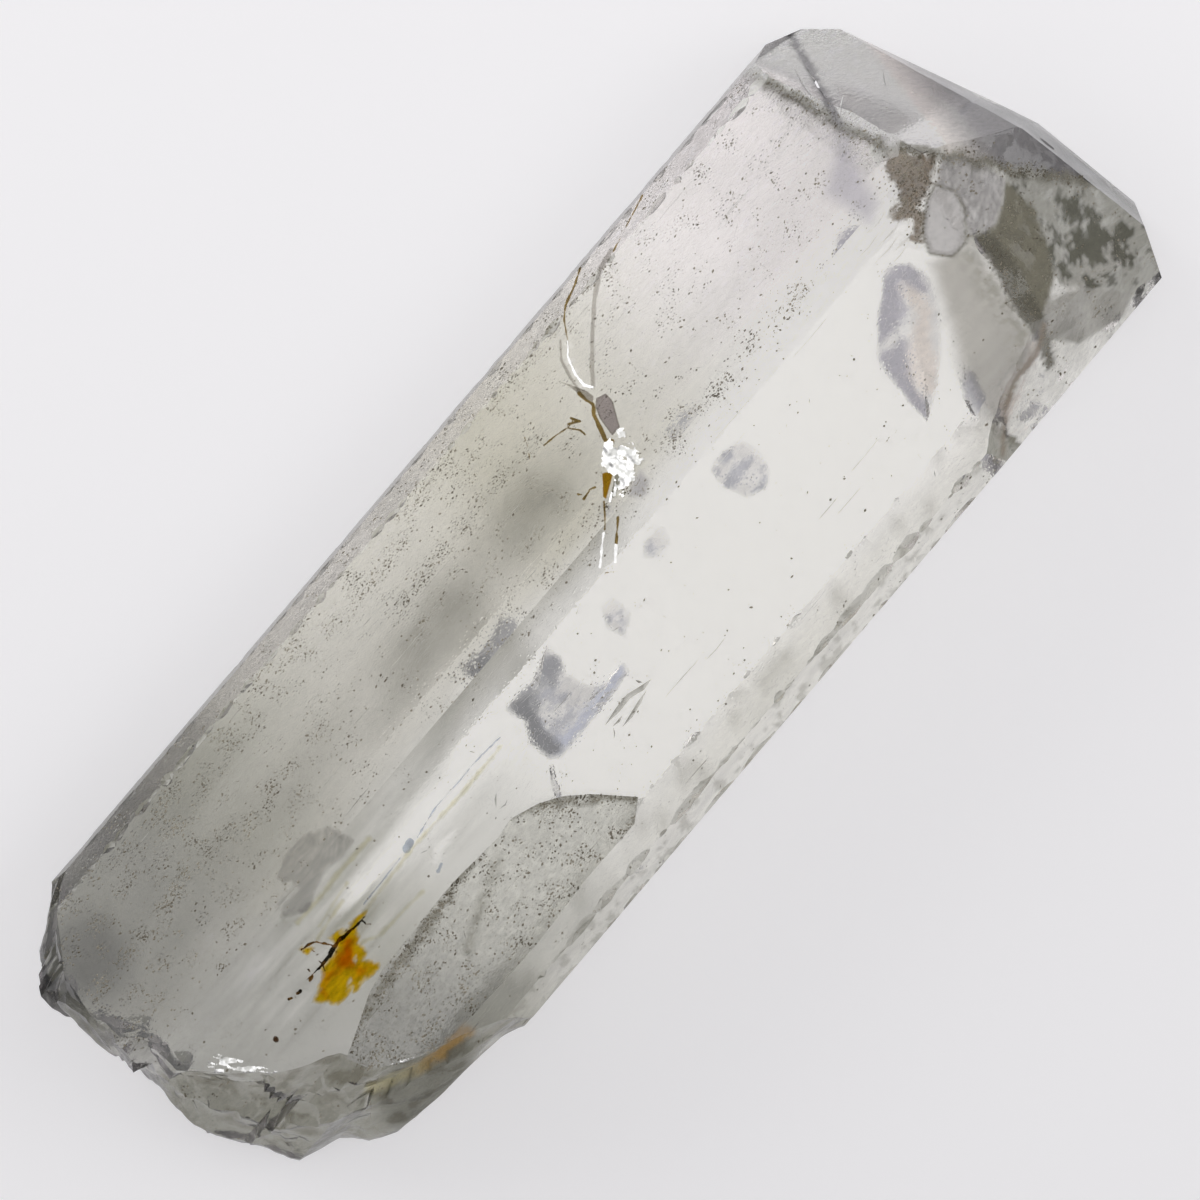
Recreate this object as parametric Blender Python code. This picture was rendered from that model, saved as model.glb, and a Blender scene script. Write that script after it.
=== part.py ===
"""A rough kunzite crystal, one natural piece, lying on its flattest prism face.

Metres, +Z up. The crystal's long axis runs along X, with the natural termination at +X and the
broken end at -X. The origin is under the middle of its bounding box, on the surface it rests on.
"""

import bmesh
import bpy
from mathutils import Matrix, Vector, noise

MM = 0.001

# driving dimensions, in millimetres
LENGTH = 50.0
WIDTH = 17.14
THICKNESS = 9.2
BLOCK_MARGIN = 3.0
GRAIN = 0.30  # spacing of the points on a broken surface

# corners of the prism's cross-section as (y, z), counter-clockwise as seen from +X
HALF_WIDTH = WIDTH / 2
BACK_EDGE_Y = 0.25
RIDGE_Y = 1.38
SECTION = (
    (-6.4, 0.0),
    (BACK_EDGE_Y, 0.0),
    (7.9, 2.4),
    (HALF_WIDTH, 3.1),
    (8.42, 4.0),
    (7.75, 4.8),
    (5.35, 6.6),
    (RIDGE_Y, THICKNESS),
    (-7.8, THICKNESS),
    (-HALF_WIDTH, 8.2),
    (-HALF_WIDTH, 1.25),
)

# flat faces of the growth termination and the corners knocked off it, as (normal, point)
END_FACES = (
    ((0.716, 0.456, 0.530), (21.20, 0.82, THICKNESS)),
    ((0.958, 0.240, 0.105), (24.68, -0.35, 0.0)),
    ((0.990, 0.020, 0.120), (24.94, -3.0, 0.0)),
    ((0.860, -0.510, 0.030), (24.72, -6.34, 2.0)),
    ((0.562, 0.586, 0.584), (20.10, 4.60, 7.3)),
)

# scooped chips on the upper right corner: (name, normal, point, half size, hollow depth, roughness)
CHIPS = (
    ("corner_scoop", (0.553, -0.151, 0.819), (20.5, -2.8, THICKNESS), 6.6, 0.75, 0.30),
    ("rim_spall", (0.272, -0.716, 0.643), (17.3, -7.1, THICKNESS), 8.0, 0.55, 0.26),
    ("rim_flake", (0.10, -0.80, 0.60), (12.2, -8.30, THICKNESS), 3.4, 0.30, 0.14),
    ("pale_flake", (0.22, -0.12, 0.968), (20.6, -1.0, THICKNESS), 2.2, 0.30, 0.10),
)

# the broken end, as (y, x): where it meets the upper faces, and its farthest outline below them
BREAK_CREST = (
    (-9.4, -12.9),
    (-8.26, -13.2),
    (-6.95, -15.6),
    (-6.1, -17.5),
    (-5.4, -18.4),
    (-3.8, -18.9),
    (-3.2, -20.2),
    (-2.2, -21.5),
    (-1.0, -22.5),
    (0.1, -23.4),
    (2.0, -23.4),
    (2.8, -24.2),
    (4.4, -24.0),
    (6.0, -23.6),
    (7.1, -22.8),
    (7.8, -21.9),
    (9.4, -21.0),
)
BREAK_OUTLINE = (
    (-9.4, -12.6),
    (-8.57, -12.7),
    (-8.15, -14.7),
    (-7.85, -18.4),
    (-7.7, -19.8),
    (-7.1, -20.9),
    (-6.1, -21.5),
    (-5.4, -23.4),
    (-4.1, -23.7),
    (-2.9, -24.5),
    (-2.2, -24.85),
    (-1.4, -24.95),
    (0.2, -24.66),
    (3.4, -24.5),
    (4.9, -24.35),
    (6.0, -23.95),
    (7.1, -23.6),
    (7.7, -22.7),
    (8.2, -21.8),
    (8.55, -21.3),
    (9.4, -21.0),
)
BREAK_OUTLINE_Z = 3.0  # the height at which the broken end reaches farthest
BREAK_UNDERCUT = 1.0  # how far it draws back again at the resting face
LEAST_TOP_Z = 4.6  # height of the broken end at its thin left side
UPPER_SLOPE = 0.68  # fall of the upper left face for each millimetre away from the ridge
FLAKE_SIZE = 3.1  # width of one shell-shaped scar on the broken end
FLAKE_STEP = 0.85
FLAKE_HOLLOW = 0.75
SPLINTER_SIZE = 1.15
SPLINTER_STEP = 0.22
CLEAVAGE_TURN = 0.76  # radians between a cleavage plane and the resting face
BREAK_GRAIN = 0.10
CUT_MARGIN = 0.8  # how far a cutter reaches past the crystal's sides
CHIP_DEPTH = 12.0  # how far a chip's cutter reaches out of the crystal

# a thin layer lost from the upper face near the broken end: outline as (x, y), and its depth
LOST_LAYER = (
    (-8.2, -3.1),
    (-7.1, -3.5),
    (-6.3, -4.0),
    (-5.5, -4.8),
    (-4.9, -5.6),
    (-4.45, -6.2),
    (-5.3, -6.75),
    (-8.0, -6.72),
    (-11.1, -6.9),
    (-14.7, -6.8),
    (-18.5, -6.6),
    (-20.5, -4.8),
    (-17.7, -3.75),
    (-16.6, -3.3),
    (-15.4, -3.1),
    (-11.4, -3.0),
    (-9.0, -3.2),
)
LOST_DEPTH = 0.14

CRYSTAL_COLOUR = (0.86, 0.83, 0.86, 1.0)
CRYSTAL_ROUGHNESS = 0.12
CRYSTAL_IOR = 1.66


def clear_scene():
    for obj in list(bpy.data.objects):
        bpy.data.objects.remove(obj, do_unlink=True)


def collection_named(name):
    made = bpy.data.collections.new(name)
    bpy.context.scene.collection.children.link(made)
    return made


def between(pairs, value):
    """Reads a polyline of (key, value) pairs at a key, straight between its points."""
    if value <= pairs[0][0]:
        return pairs[0][1]
    for (low, start), (high, end) in zip(pairs, pairs[1:]):
        if value <= high:
            return start + (end - start) * (value - low) / (high - low)
    return pairs[-1][1]


def object_from(bm, name, collection):
    bmesh.ops.recalc_face_normals(bm, faces=bm.faces)
    mesh = bpy.data.meshes.new(name)
    bm.to_mesh(mesh)
    bm.free()
    obj = bpy.data.objects.new(name, mesh)
    collection.objects.link(obj)
    return obj


def cut_flat(bm, normal, point):
    """Takes off what lies beyond a plane and closes the cut with one flat face."""
    cut = bmesh.ops.bisect_plane(
        bm,
        geom=bm.verts[:] + bm.edges[:] + bm.faces[:],
        plane_co=Vector(point) * MM,
        plane_no=Vector(normal).normalized(),
        clear_outer=True,
    )
    rim = [item for item in cut["geom_cut"] if isinstance(item, bmesh.types.BMEdge)]
    bmesh.ops.contextual_create(bm, geom=rim)


def prism_block():
    """A block cleaved along every side of the cross-section, then along the termination's faces."""
    bm = bmesh.new()
    bmesh.ops.create_cube(bm, size=1.0)
    block = (
        (LENGTH + BLOCK_MARGIN) * MM,
        (WIDTH + BLOCK_MARGIN) * MM,
        (THICKNESS + BLOCK_MARGIN) * MM,
    )
    bmesh.ops.scale(bm, vec=block, verts=bm.verts)
    bmesh.ops.translate(bm, vec=(0.0, 0.0, THICKNESS * MM / 2), verts=bm.verts)
    for (y0, z0), (y1, z1) in zip(SECTION, SECTION[1:] + SECTION[:1]):
        cut_flat(bm, (0.0, z1 - z0, y0 - y1), (0.0, y0, z0))
    for normal, point in END_FACES:
        cut_flat(bm, normal, point)
    return bm


def cutter_from_grid(name, count_u, count_v, place, push, collection):
    """A closed block whose near face is a grid placed point by point, and whose far face is pushed away."""
    bm = bmesh.new()
    bmesh.ops.create_grid(bm, x_segments=count_u, y_segments=count_v, size=1.0)
    for vert in bm.verts:
        vert.co = place(vert.co.x, vert.co.y)
    grown = bmesh.ops.extrude_face_region(bm, geom=bm.faces[:])
    far = [item for item in grown["geom"] if isinstance(item, bmesh.types.BMVert)]
    bmesh.ops.translate(bm, vec=push, verts=far)
    cutter = object_from(bm, name, collection)
    cutter.hide_render = True
    cutter.display_type = "WIRE"
    return cutter


def scar(y, z, size, seed):
    """The shell-shaped scar that a point lies in: its level from 0 to 1, and its hollow from 0 to 1."""
    turned = Matrix.Rotation(CLEAVAGE_TURN, 2) @ Vector((y, z))
    spot = Vector((turned.x / size, turned.y / size, seed))
    distances, points = noise.voronoi(spot)
    level = noise.cell(points[0] * 7.31)
    return level, max(0.0, 1.0 - 2.2 * distances[0] ** 2)


def broken_end_place(u, v):
    """A point of the broken end, for u across the crystal and v from its resting face to its top."""
    y = u * (HALF_WIDTH + CUT_MARGIN)
    z = THICKNESS / 2 + v * (THICKNESS / 2 + CUT_MARGIN)
    top = max(LEAST_TOP_Z, THICKNESS - UPPER_SLOPE * max(0.0, y - RIDGE_Y))
    outline = between(BREAK_OUTLINE, y)
    crest = between(BREAK_CREST, y)
    if z > BREAK_OUTLINE_Z:
        rise = (z - BREAK_OUTLINE_Z) / (top - BREAK_OUTLINE_Z)
        x = outline + (crest - outline) * min(rise, 1.2) ** 1.2
        free = max(0.12, 4.0 * rise * (1.0 - rise))
    else:
        fall = 1.0 - z / BREAK_OUTLINE_Z
        x = outline + BREAK_UNDERCUT * fall ** 2
        free = min(1.0, 1.5 * fall)
    level, hollow = scar(y, z, FLAKE_SIZE, 0.3)
    x += min(1.0, free) * (FLAKE_STEP * level + FLAKE_HOLLOW * hollow)
    level, hollow = scar(y, z, SPLINTER_SIZE, 4.7)
    x += min(1.0, free) * SPLINTER_STEP * (level + 0.8 * hollow - 0.9)
    x += BREAK_GRAIN * noise.fractal(Vector((y * 0.8, z * 0.8, 2.0)), 0.9, 2.1, 4)
    return Vector((x, y, z)) * MM


def broken_end_cutter(collection):
    count_u = round(2 * (HALF_WIDTH + CUT_MARGIN) / GRAIN)
    count_v = round((THICKNESS + 2 * CUT_MARGIN) / GRAIN)
    push = (-(LENGTH / 2) * MM, 0.0, 0.0)
    return cutter_from_grid("broken_end_cut", count_u, count_v, broken_end_place, push, collection)


def chip_cutter(name, normal, point, half_size, hollow, roughness, collection):
    """A scooped, gently ribbed block that lifts one chip off the corner."""
    facing = Vector(normal).normalized()
    turn = facing.to_track_quat("Z", "X").to_matrix()
    centre = Vector(point)

    def place(u, v):
        across = turn @ Vector((u * half_size, v * half_size, 0.0))
        reach = u * u + v * v
        dish = -hollow * max(0.0, 1.0 - reach)
        ribs = 0.5 * roughness * noise.noise(Vector((6.0 * reach, 1.5 * u, 0.7 * v)))
        grain = roughness * noise.fractal((centre + across) * 0.42, 1.0, 2.0, 4)
        return (centre + across + facing * (dish + ribs + grain)) * MM

    count = round(2 * half_size / GRAIN)
    push = facing * CHIP_DEPTH * MM
    return cutter_from_grid(name, count, count, place, push, collection)


def lost_layer_cutter(collection):
    """A thin outline block that takes the missing layer off the upper face."""
    bm = bmesh.new()
    ring = [bm.verts.new(Vector((x, y, THICKNESS - LOST_DEPTH)) * MM) for x, y in LOST_LAYER]
    sheet = bm.faces.new(ring)
    grown = bmesh.ops.extrude_face_region(bm, geom=[sheet])
    far = [item for item in grown["geom"] if isinstance(item, bmesh.types.BMVert)]
    bmesh.ops.translate(bm, vec=(0.0, 0.0, CUT_MARGIN * MM), verts=far)
    cutter = object_from(bm, "lost_layer_cut", collection)
    cutter.hide_render = True
    cutter.display_type = "WIRE"
    return cutter


def crystal_material():
    material = bpy.data.materials.new("pale_kunzite")
    material.use_nodes = True
    surface = material.node_tree.nodes["Principled BSDF"]
    surface.inputs["Base Color"].default_value = CRYSTAL_COLOUR
    surface.inputs["Roughness"].default_value = CRYSTAL_ROUGHNESS
    surface.inputs["IOR"].default_value = CRYSTAL_IOR
    surface.inputs["Transmission Weight"].default_value = 1.0
    return material


def main():
    clear_scene()
    parts = collection_named("rough_kunzite")
    cutters = collection_named("cutters")
    crystal = object_from(prism_block(), "kunzite_crystal", parts)
    crystal.data.materials.append(crystal_material())
    tools = [lost_layer_cutter(cutters), broken_end_cutter(cutters)]
    tools += [chip_cutter(*chip, cutters) for chip in CHIPS]
    for tool in tools:
        cut = crystal.modifiers.new(tool.name, "BOOLEAN")
        cut.operation = "DIFFERENCE"
        cut.solver = "EXACT"
        cut.object = tool


main()
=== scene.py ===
import math
import random

import bmesh
import bpy
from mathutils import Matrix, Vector, noise
from mathutils.bvhtree import BVHTree


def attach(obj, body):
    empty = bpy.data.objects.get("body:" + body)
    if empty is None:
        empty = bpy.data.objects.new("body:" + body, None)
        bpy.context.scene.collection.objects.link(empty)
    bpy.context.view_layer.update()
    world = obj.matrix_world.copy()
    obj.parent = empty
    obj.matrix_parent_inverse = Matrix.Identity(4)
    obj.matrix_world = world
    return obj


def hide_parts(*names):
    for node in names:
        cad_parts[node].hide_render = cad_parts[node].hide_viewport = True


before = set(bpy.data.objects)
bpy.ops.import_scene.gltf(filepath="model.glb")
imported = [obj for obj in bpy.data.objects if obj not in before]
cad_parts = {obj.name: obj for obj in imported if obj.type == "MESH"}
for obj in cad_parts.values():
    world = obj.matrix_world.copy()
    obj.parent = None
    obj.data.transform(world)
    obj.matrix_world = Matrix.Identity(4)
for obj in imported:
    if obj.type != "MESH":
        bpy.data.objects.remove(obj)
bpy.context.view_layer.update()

# The view straight down on the crystal, as a stone is photographed on a copy stand: the long axis
# runs up to the right, and the long lens keeps the sides of the prism parallel.
MM = 0.001
PIXEL = 0.03782 * MM
FRAME_SIDE = 1200 * PIXEL
AXIS_TILT = math.radians(49.55)
AIM = (0.25 * MM, -0.32 * MM, 4.5 * MM)
STAND_HEIGHT = 0.6

lens = bpy.data.cameras.new("copy_stand")
lens.sensor_width = 36.0
lens.lens = lens.sensor_width * STAND_HEIGHT / FRAME_SIDE
lens.clip_start = 0.01
lens.clip_end = 20.0
camera = bpy.data.objects.new("copy_stand", lens)
camera.location = (AIM[0], AIM[1], AIM[2] + STAND_HEIGHT)
camera.rotation_euler = (0.0, 0.0, -AXIS_TILT)
bpy.context.scene.collection.objects.link(camera)
bpy.context.scene.camera = camera
bpy.context.scene.view_settings.view_transform = "Standard"


# The pale floor is a light table: a sheet of opal glass lit evenly from below, so that a clear
# stone on it shows what is inside it.
TABLE_SIZE = 2.5
TABLE_GAP = 0.03 * MM
TABLE_GLOW = (0.94, 0.925, 0.94, 1.0)
TABLE_GLOW_POWER = 0.525
TABLE_DIMMEST, TABLE_BRIGHTEST = 0.9, 1.07  # shares of that power at the two ends of its fall
TABLE_FALL = (0.761 / 0.035, 0.649 / 0.035, 0.0)  # the lamp's glow falls off over 70 mm, this way


def to_object(name, made):
    """Turns a mesh under construction into an object in the scene."""
    data = bpy.data.meshes.new(name)
    made.to_mesh(data)
    made.free()
    obj = bpy.data.objects.new(name, data)
    bpy.context.scene.collection.objects.link(obj)
    return obj


def new_material(name, values):
    """A material, its node tree and its surface shader, with plain values on that shader."""
    made = bpy.data.materials.new(name)
    made.use_nodes = True
    shader = made.node_tree.nodes["Principled BSDF"]
    for socket, value in values.items():
        shader.inputs[socket].default_value = value
    return made, made.node_tree, shader


def add(tree, kind, feeds=None, **settings):
    """A node with its settings, and its inputs set or linked."""
    made = tree.nodes.new(kind)
    for name, value in settings.items():
        setattr(made, name, value)
    for name, value in (feeds or {}).items():
        if isinstance(value, bpy.types.NodeSocket):
            tree.links.new(value, made.inputs[name])
        else:
            made.inputs[name].default_value = value
    return made


table = bmesh.new()
bmesh.ops.create_grid(table, x_segments=1, y_segments=1, size=TABLE_SIZE)
bmesh.ops.translate(table, vec=(0.0, 0.0, -TABLE_GAP), verts=table.verts)
floor = to_object("light_table", table)
opal, opal_tree, opal_surface = new_material("opal_glass", {
    "Base Color": (0.62, 0.62, 0.63, 1.0), "Roughness": 0.7, "Emission Color": TABLE_GLOW})
opal_along = add(opal_tree, "ShaderNodeVectorMath", {
    0: add(opal_tree, "ShaderNodeTexCoord").outputs["Object"], 1: TABLE_FALL}, operation="DOT_PRODUCT")
opal_glow = add(opal_tree, "ShaderNodeMapRange", {
    "Value": opal_along.outputs["Value"], "From Min": -1.0, "From Max": 1.0,
    "To Min": TABLE_GLOW_POWER * TABLE_DIMMEST, "To Max": TABLE_GLOW_POWER * TABLE_BRIGHTEST,
}, interpolation_type="SMOOTHSTEP")
opal_tree.links.new(opal_glow.outputs["Result"], opal_surface.inputs["Emission Strength"])
opal.cycles.emission_sampling = "NONE"
floor.data.materials.append(opal)


# The room above the table is a dim studio, with three soft boxes and plain pale air behind the
# stone as the camera sees it.
STUDIO_AIR = (0.33, 0.325, 0.335)
ROOM_SEEN = (0.78, 0.78, 0.8, 1.0)
# soft boxes: direction, cosine of the angle out to their edge and to their full light, brightness
SOFT_BOXES = (
    ((-0.15, 0.9, 0.44), 0.86, 0.96, 1.3),
    ((0.45, -0.4, 0.55), 0.94, 0.975, 1.4),
    ((0.0, 0.0, 1.0), 0.97, 0.992, 1.3),
)

room = bpy.data.worlds.new("dim_studio")
room.use_nodes = True
room.cycles.sampling_method = "NONE"
bpy.context.scene.world = room
room_tree = room.node_tree
room_air = room_tree.nodes["Background"]
room_way = add(room_tree, "ShaderNodeTexCoord").outputs["Generated"]
room_glow = STUDIO_AIR
for direction, edge, full, power in SOFT_BOXES:
    toward = add(room_tree, "ShaderNodeVectorMath", {
        0: room_way, 1: Vector(direction).normalized()}, operation="DOT_PRODUCT")
    box = add(room_tree, "ShaderNodeMapRange", {
        "Value": toward.outputs["Value"], "From Min": edge, "From Max": full, "To Max": power,
    }, interpolation_type="SMOOTHSTEP")
    room_glow = add(room_tree, "ShaderNodeVectorMath", {
        0: box.outputs["Result"], 1: room_glow}, operation="ADD").outputs["Vector"]
room_tree.links.new(room_glow, room_air.inputs["Color"])
room_pick = add(room_tree, "ShaderNodeMixShader", {
    "Fac": add(room_tree, "ShaderNodeLightPath").outputs["Is Camera Ray"],
    1: room_air.outputs["Background"],
    2: add(room_tree, "ShaderNodeBackground", {"Color": ROOM_SEEN}).outputs["Background"]})
room_tree.links.new(room_pick.outputs["Shader"], room_tree.nodes["World Output"].inputs["Surface"])

# The crystal grew as one flattened prism of spodumene, cleaved across at one end and chipped at the
# other. It keeps the solid's planes; its edges get small shell-shaped chips, its faces growth
# grooves and deep etch pits, and its broken faces a finer grain.
FRACTURE_AREA = 1.0  # a face of the solid smaller than this, in square millimetres, is broken ground
SOLID_WELD = 0.002
SAME_PLANE = math.radians(0.3)


def merged_copy(node):
    """The node's surface as one closed mesh, with every flat face in one piece."""
    made = bmesh.new()
    made.from_mesh(node.data)
    bmesh.ops.remove_doubles(made, verts=made.verts, dist=SOLID_WELD * MM)
    bmesh.ops.dissolve_limit(made, angle_limit=SAME_PLANE, verts=made.verts, edges=made.edges)
    bmesh.ops.recalc_face_normals(made, faces=made.faces)
    return made


body = merged_copy(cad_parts["kunzite_crystal"])
skin_tree = BVHTree.FromBMesh(body)


def skin(x, y, below=False):
    """The upper or lower surface of the crystal at (x, y), in millimetres, and its normal."""
    start = Vector((x, y, -5.0 if below else 15.0)) * MM
    place, normal, _, _ = skin_tree.ray_cast(start, Vector((0.0, 0.0, 1.0 if below else -1.0)))
    if place is None:
        return None, None
    return place / MM, normal


KINDS = (
    "clear", "etched", "plateau", "base", "underside", "rim", "cap", "fracture", "chip", "pit", "groove",
)


def kind_of(face):
    normal = face.normal
    if face.calc_area() < FRACTURE_AREA * MM ** 2:
        return "fracture"
    if normal.x > 0.5:
        return "cap"
    if normal.z > 0.99:
        return "clear" if face.calc_center_median().z > 9.15 * MM else "plateau"
    if normal.z < -0.99:
        return "base"
    if normal.z < -0.9 and normal.y > 0.1:
        return "underside"
    return "etched" if normal.y > 0.0 else "rim"


for face in body.faces:
    face.material_index = KINDS.index(kind_of(face))


def to_cutter(name, made, kind):
    """Turns a mesh under construction into an object that cuts faces of one kind."""
    for face in made.faces:
        face.material_index = KINDS.index(kind)
    bmesh.ops.recalc_face_normals(made, faces=made.faces)
    return to_object(name, made)


# shell-shaped chips along the prism's edges: edge (y, z), direction out of the crystal, how many,
# span along X, greatest radius and depth
EDGE_CHIPS = (
    ((7.75, 4.8), (0.69, 0.73), 52, (-20.5, 19.0), 0.55, 0.1),
    ((8.42, 4.00), (0.91, 0.42), 44, (-20.5, 19.5), 0.42, 0.1),
    ((8.57, 3.1), (0.93, -0.3), 30, (-20.5, 20.5), 0.45, 0.14),
    ((-7.8, 9.2), (-0.44, 0.9), 60, (-13.0, 13.5), 0.6, 0.17),
    ((-8.57, 8.2), (-0.95, 0.32), 40, (-13.0, 15.0), 0.5, 0.16),
    ((-8.57, 1.25), (-0.88, -0.47), 26, (-13.5, 21.0), 0.55, 0.18),
    ((-6.4, 0.00), (-0.25, -0.97), 20, (-19.0, 21.5), 0.55, 0.12),
)
# chips placed one by one: (x, y, z), direction out of the crystal, radius, depth, stretch along X
PLACED_CHIPS = (
    ((20.6, 8.15, 3.9), (0.5, 0.75, 0.42), 0.9, 0.25, 1.2),
    ((18.9, 7.9, 4.7), (0.1, 0.65, 0.75), 0.7, 0.16, 1.6),
    ((19.9, 2.6, 8.3), (0.45, 0.35, 0.8), 0.8, 0.1, 1.2),
    ((23.4, 4.2, 3.6), (0.8, 0.4, 0.3), 0.9, 0.14, 1.0),
    ((24.3, -2.0, 4.6), (0.9, 0.1, 0.4), 0.7, 0.14, 1.0),
)
chip_sets = []


def lift_chip(edge, out, radius, depth, stretch):
    """Adds a rounded cutter that scoops a shallow shell off an edge."""
    centre = Vector(edge) + Vector(out).normalized() * (radius - depth)
    reach = radius * stretch * 1.2
    for chips in chip_sets:
        if all((centre - spot).length > reach + size for spot, size in chips["spots"]):
            break
    else:
        chips = {"spots": [], "mesh": bmesh.new()}
        chip_sets.append(chips)
    chips["spots"].append((centre, reach))
    ball = bmesh.ops.create_icosphere(chips["mesh"], subdivisions=2, radius=1.0)
    for vert in ball["verts"]:
        swell = 1.0 + 0.22 * noise.noise(vert.co * 1.9 + centre * 3.0)
        across = Vector((vert.co.x * stretch, vert.co.y, vert.co.z)) * radius * swell
        vert.co = (centre + across) * MM


draw = random.Random(41)
for (y, z), (out_y, out_z), count, (start, end), size, depth in EDGE_CHIPS:
    for _ in range(count):
        x = draw.uniform(start, end)
        share = draw.random() ** 2.4
        radius = 0.14 + (size - 0.14) * share
        cut = min(0.5 * radius, 0.03 + depth * share * draw.uniform(0.5, 1.1))
        out = (draw.uniform(-0.25, 0.25), out_y, out_z)
        lift_chip((x, y, z), out, radius, cut, draw.uniform(1.0, 3.2))
for chip in PLACED_CHIPS:
    lift_chip(*chip)


CUT_PROUD = 0.02  # how far a cutter stands out of the skin, in millimetres


def groove(made, line, width, depth):
    """Adds a cutter for a thin groove that tapers at both ends, along a line on the surface."""
    spots = [skin(x, y) for x, y in line]
    if any(place is None for place, _ in spots):
        return
    rings = []
    for n, (place, up) in enumerate(spots):
        if n in (0, len(spots) - 1):
            rings.append([made.verts.new((place + up * CUT_PROUD) * MM)] * 3)
            continue
        along = (spots[n + 1][0] - spots[n - 1][0]).normalized()
        side = along.cross(up).normalized() * width * 0.5
        rings.append([
            made.verts.new((place + side + up * CUT_PROUD) * MM),
            made.verts.new((place - up * depth) * MM),
            made.verts.new((place - side + up * CUT_PROUD) * MM),
        ])
    for ring, after in zip(rings, rings[1:]):
        for k in range(3):
            corners = [ring[k], ring[(k + 1) % 3], after[(k + 1) % 3], after[k]]
            made.faces.new(list(dict.fromkeys(corners)))


# etch marks and handling scratches: points (x, y) on the upper surface, width, depth
SCRATCHES = (
    (((-8.3, -2.5), (-8.0, -2.2), (-7.7, -2.0)), 0.1, 0.06),
    (((-8.3, -2.5), (-7.9, -2.6), (-7.6, -2.5)), 0.08, 0.05),
    (((-3.3, -3.51), (-2.47, -3.5), (-1.8, -3.48), (-1.22, -3.67), (-0.63, -3.72)), 0.22, 0.14),
    (((-2.97, -4.06), (-2.29, -4.03), (-1.69, -3.93), (-1.09, -3.83)), 0.16, 0.1),
    (((-1.19, -3.23), (-1.14, -3.42), (-1.05, -3.58)), 0.12, 0.08),
    (((-2.13, -3.3), (-1.95, -3.42), (-1.6, -3.44)), 0.12, 0.08),
    (((-3.15, -3.75), (-2.75, -3.8), (-2.4, -3.76)), 0.12, 0.08),
    (((-3.45, -4.15), (-3.2, -3.98), (-3.0, -3.72)), 0.07, 0.05),
    (((20.0, 4.6), (20.4, 4.9), (20.8, 5.1)), 0.1, 0.04),
    (((22.6, 4.7), (22.2, 4.3), (21.9, 3.9)), 0.12, 0.05),
    (((19.9, 4.9), (20.5, 6.4), (21.1, 7.9)), 0.12, 0.03),
    (((19.6, 5.3), (20.1, 6.6), (20.6, 7.8)), 0.16, 0.04),
    (((16.9, 0.35), (17.9, 0.3), (18.9, 0.42)), 0.12, 0.06),
    (((16.2, 0.05), (17.3, -0.02), (18.3, 0.05)), 0.1, 0.06),
    (((17.2, -0.22), (17.9, -0.28), (18.6, -0.25)), 0.16, 0.09),
    (((16.6, -0.45), (17.4, -0.5), (18.2, -0.42)), 0.08, 0.05),
    (((15.9, 0.65), (16.9, 0.6), (18.0, 0.7)), 0.07, 0.04),
    (((17.0, 0.95), (17.8, 0.92), (18.8, 1.05)), 0.09, 0.05),
)
grooves = bmesh.new()
for line, width, depth in SCRATCHES:
    groove(grooves, line, width, depth)
for _ in range(60):
    start = draw.uniform(-20.0, 14.0)
    y = draw.choice((draw.uniform(1.7, 7.5), draw.uniform(1.7, 7.5), draw.uniform(-7.4, 1.2)))
    reach = draw.uniform(0.4, 3.6)
    width = draw.uniform(0.03, 0.07)
    line = [(start + reach * t / 4, y + 0.02 * draw.uniform(-1, 1)) for t in range(5)]
    groove(grooves, line, width, 0.2 * width)
for _ in range(40):
    x = draw.uniform(-17.0, 17.0)
    y = draw.uniform(-7.2, 7.2)
    turn = draw.uniform(-1.2, 1.2)
    reach = draw.uniform(0.15, 0.7)
    step = Vector((math.cos(turn), math.sin(turn))) * reach
    groove(grooves, [(x, y), (x + step.x / 2, y + step.y / 2), (x + step.x, y + step.y)], 0.05, 0.03)


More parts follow.
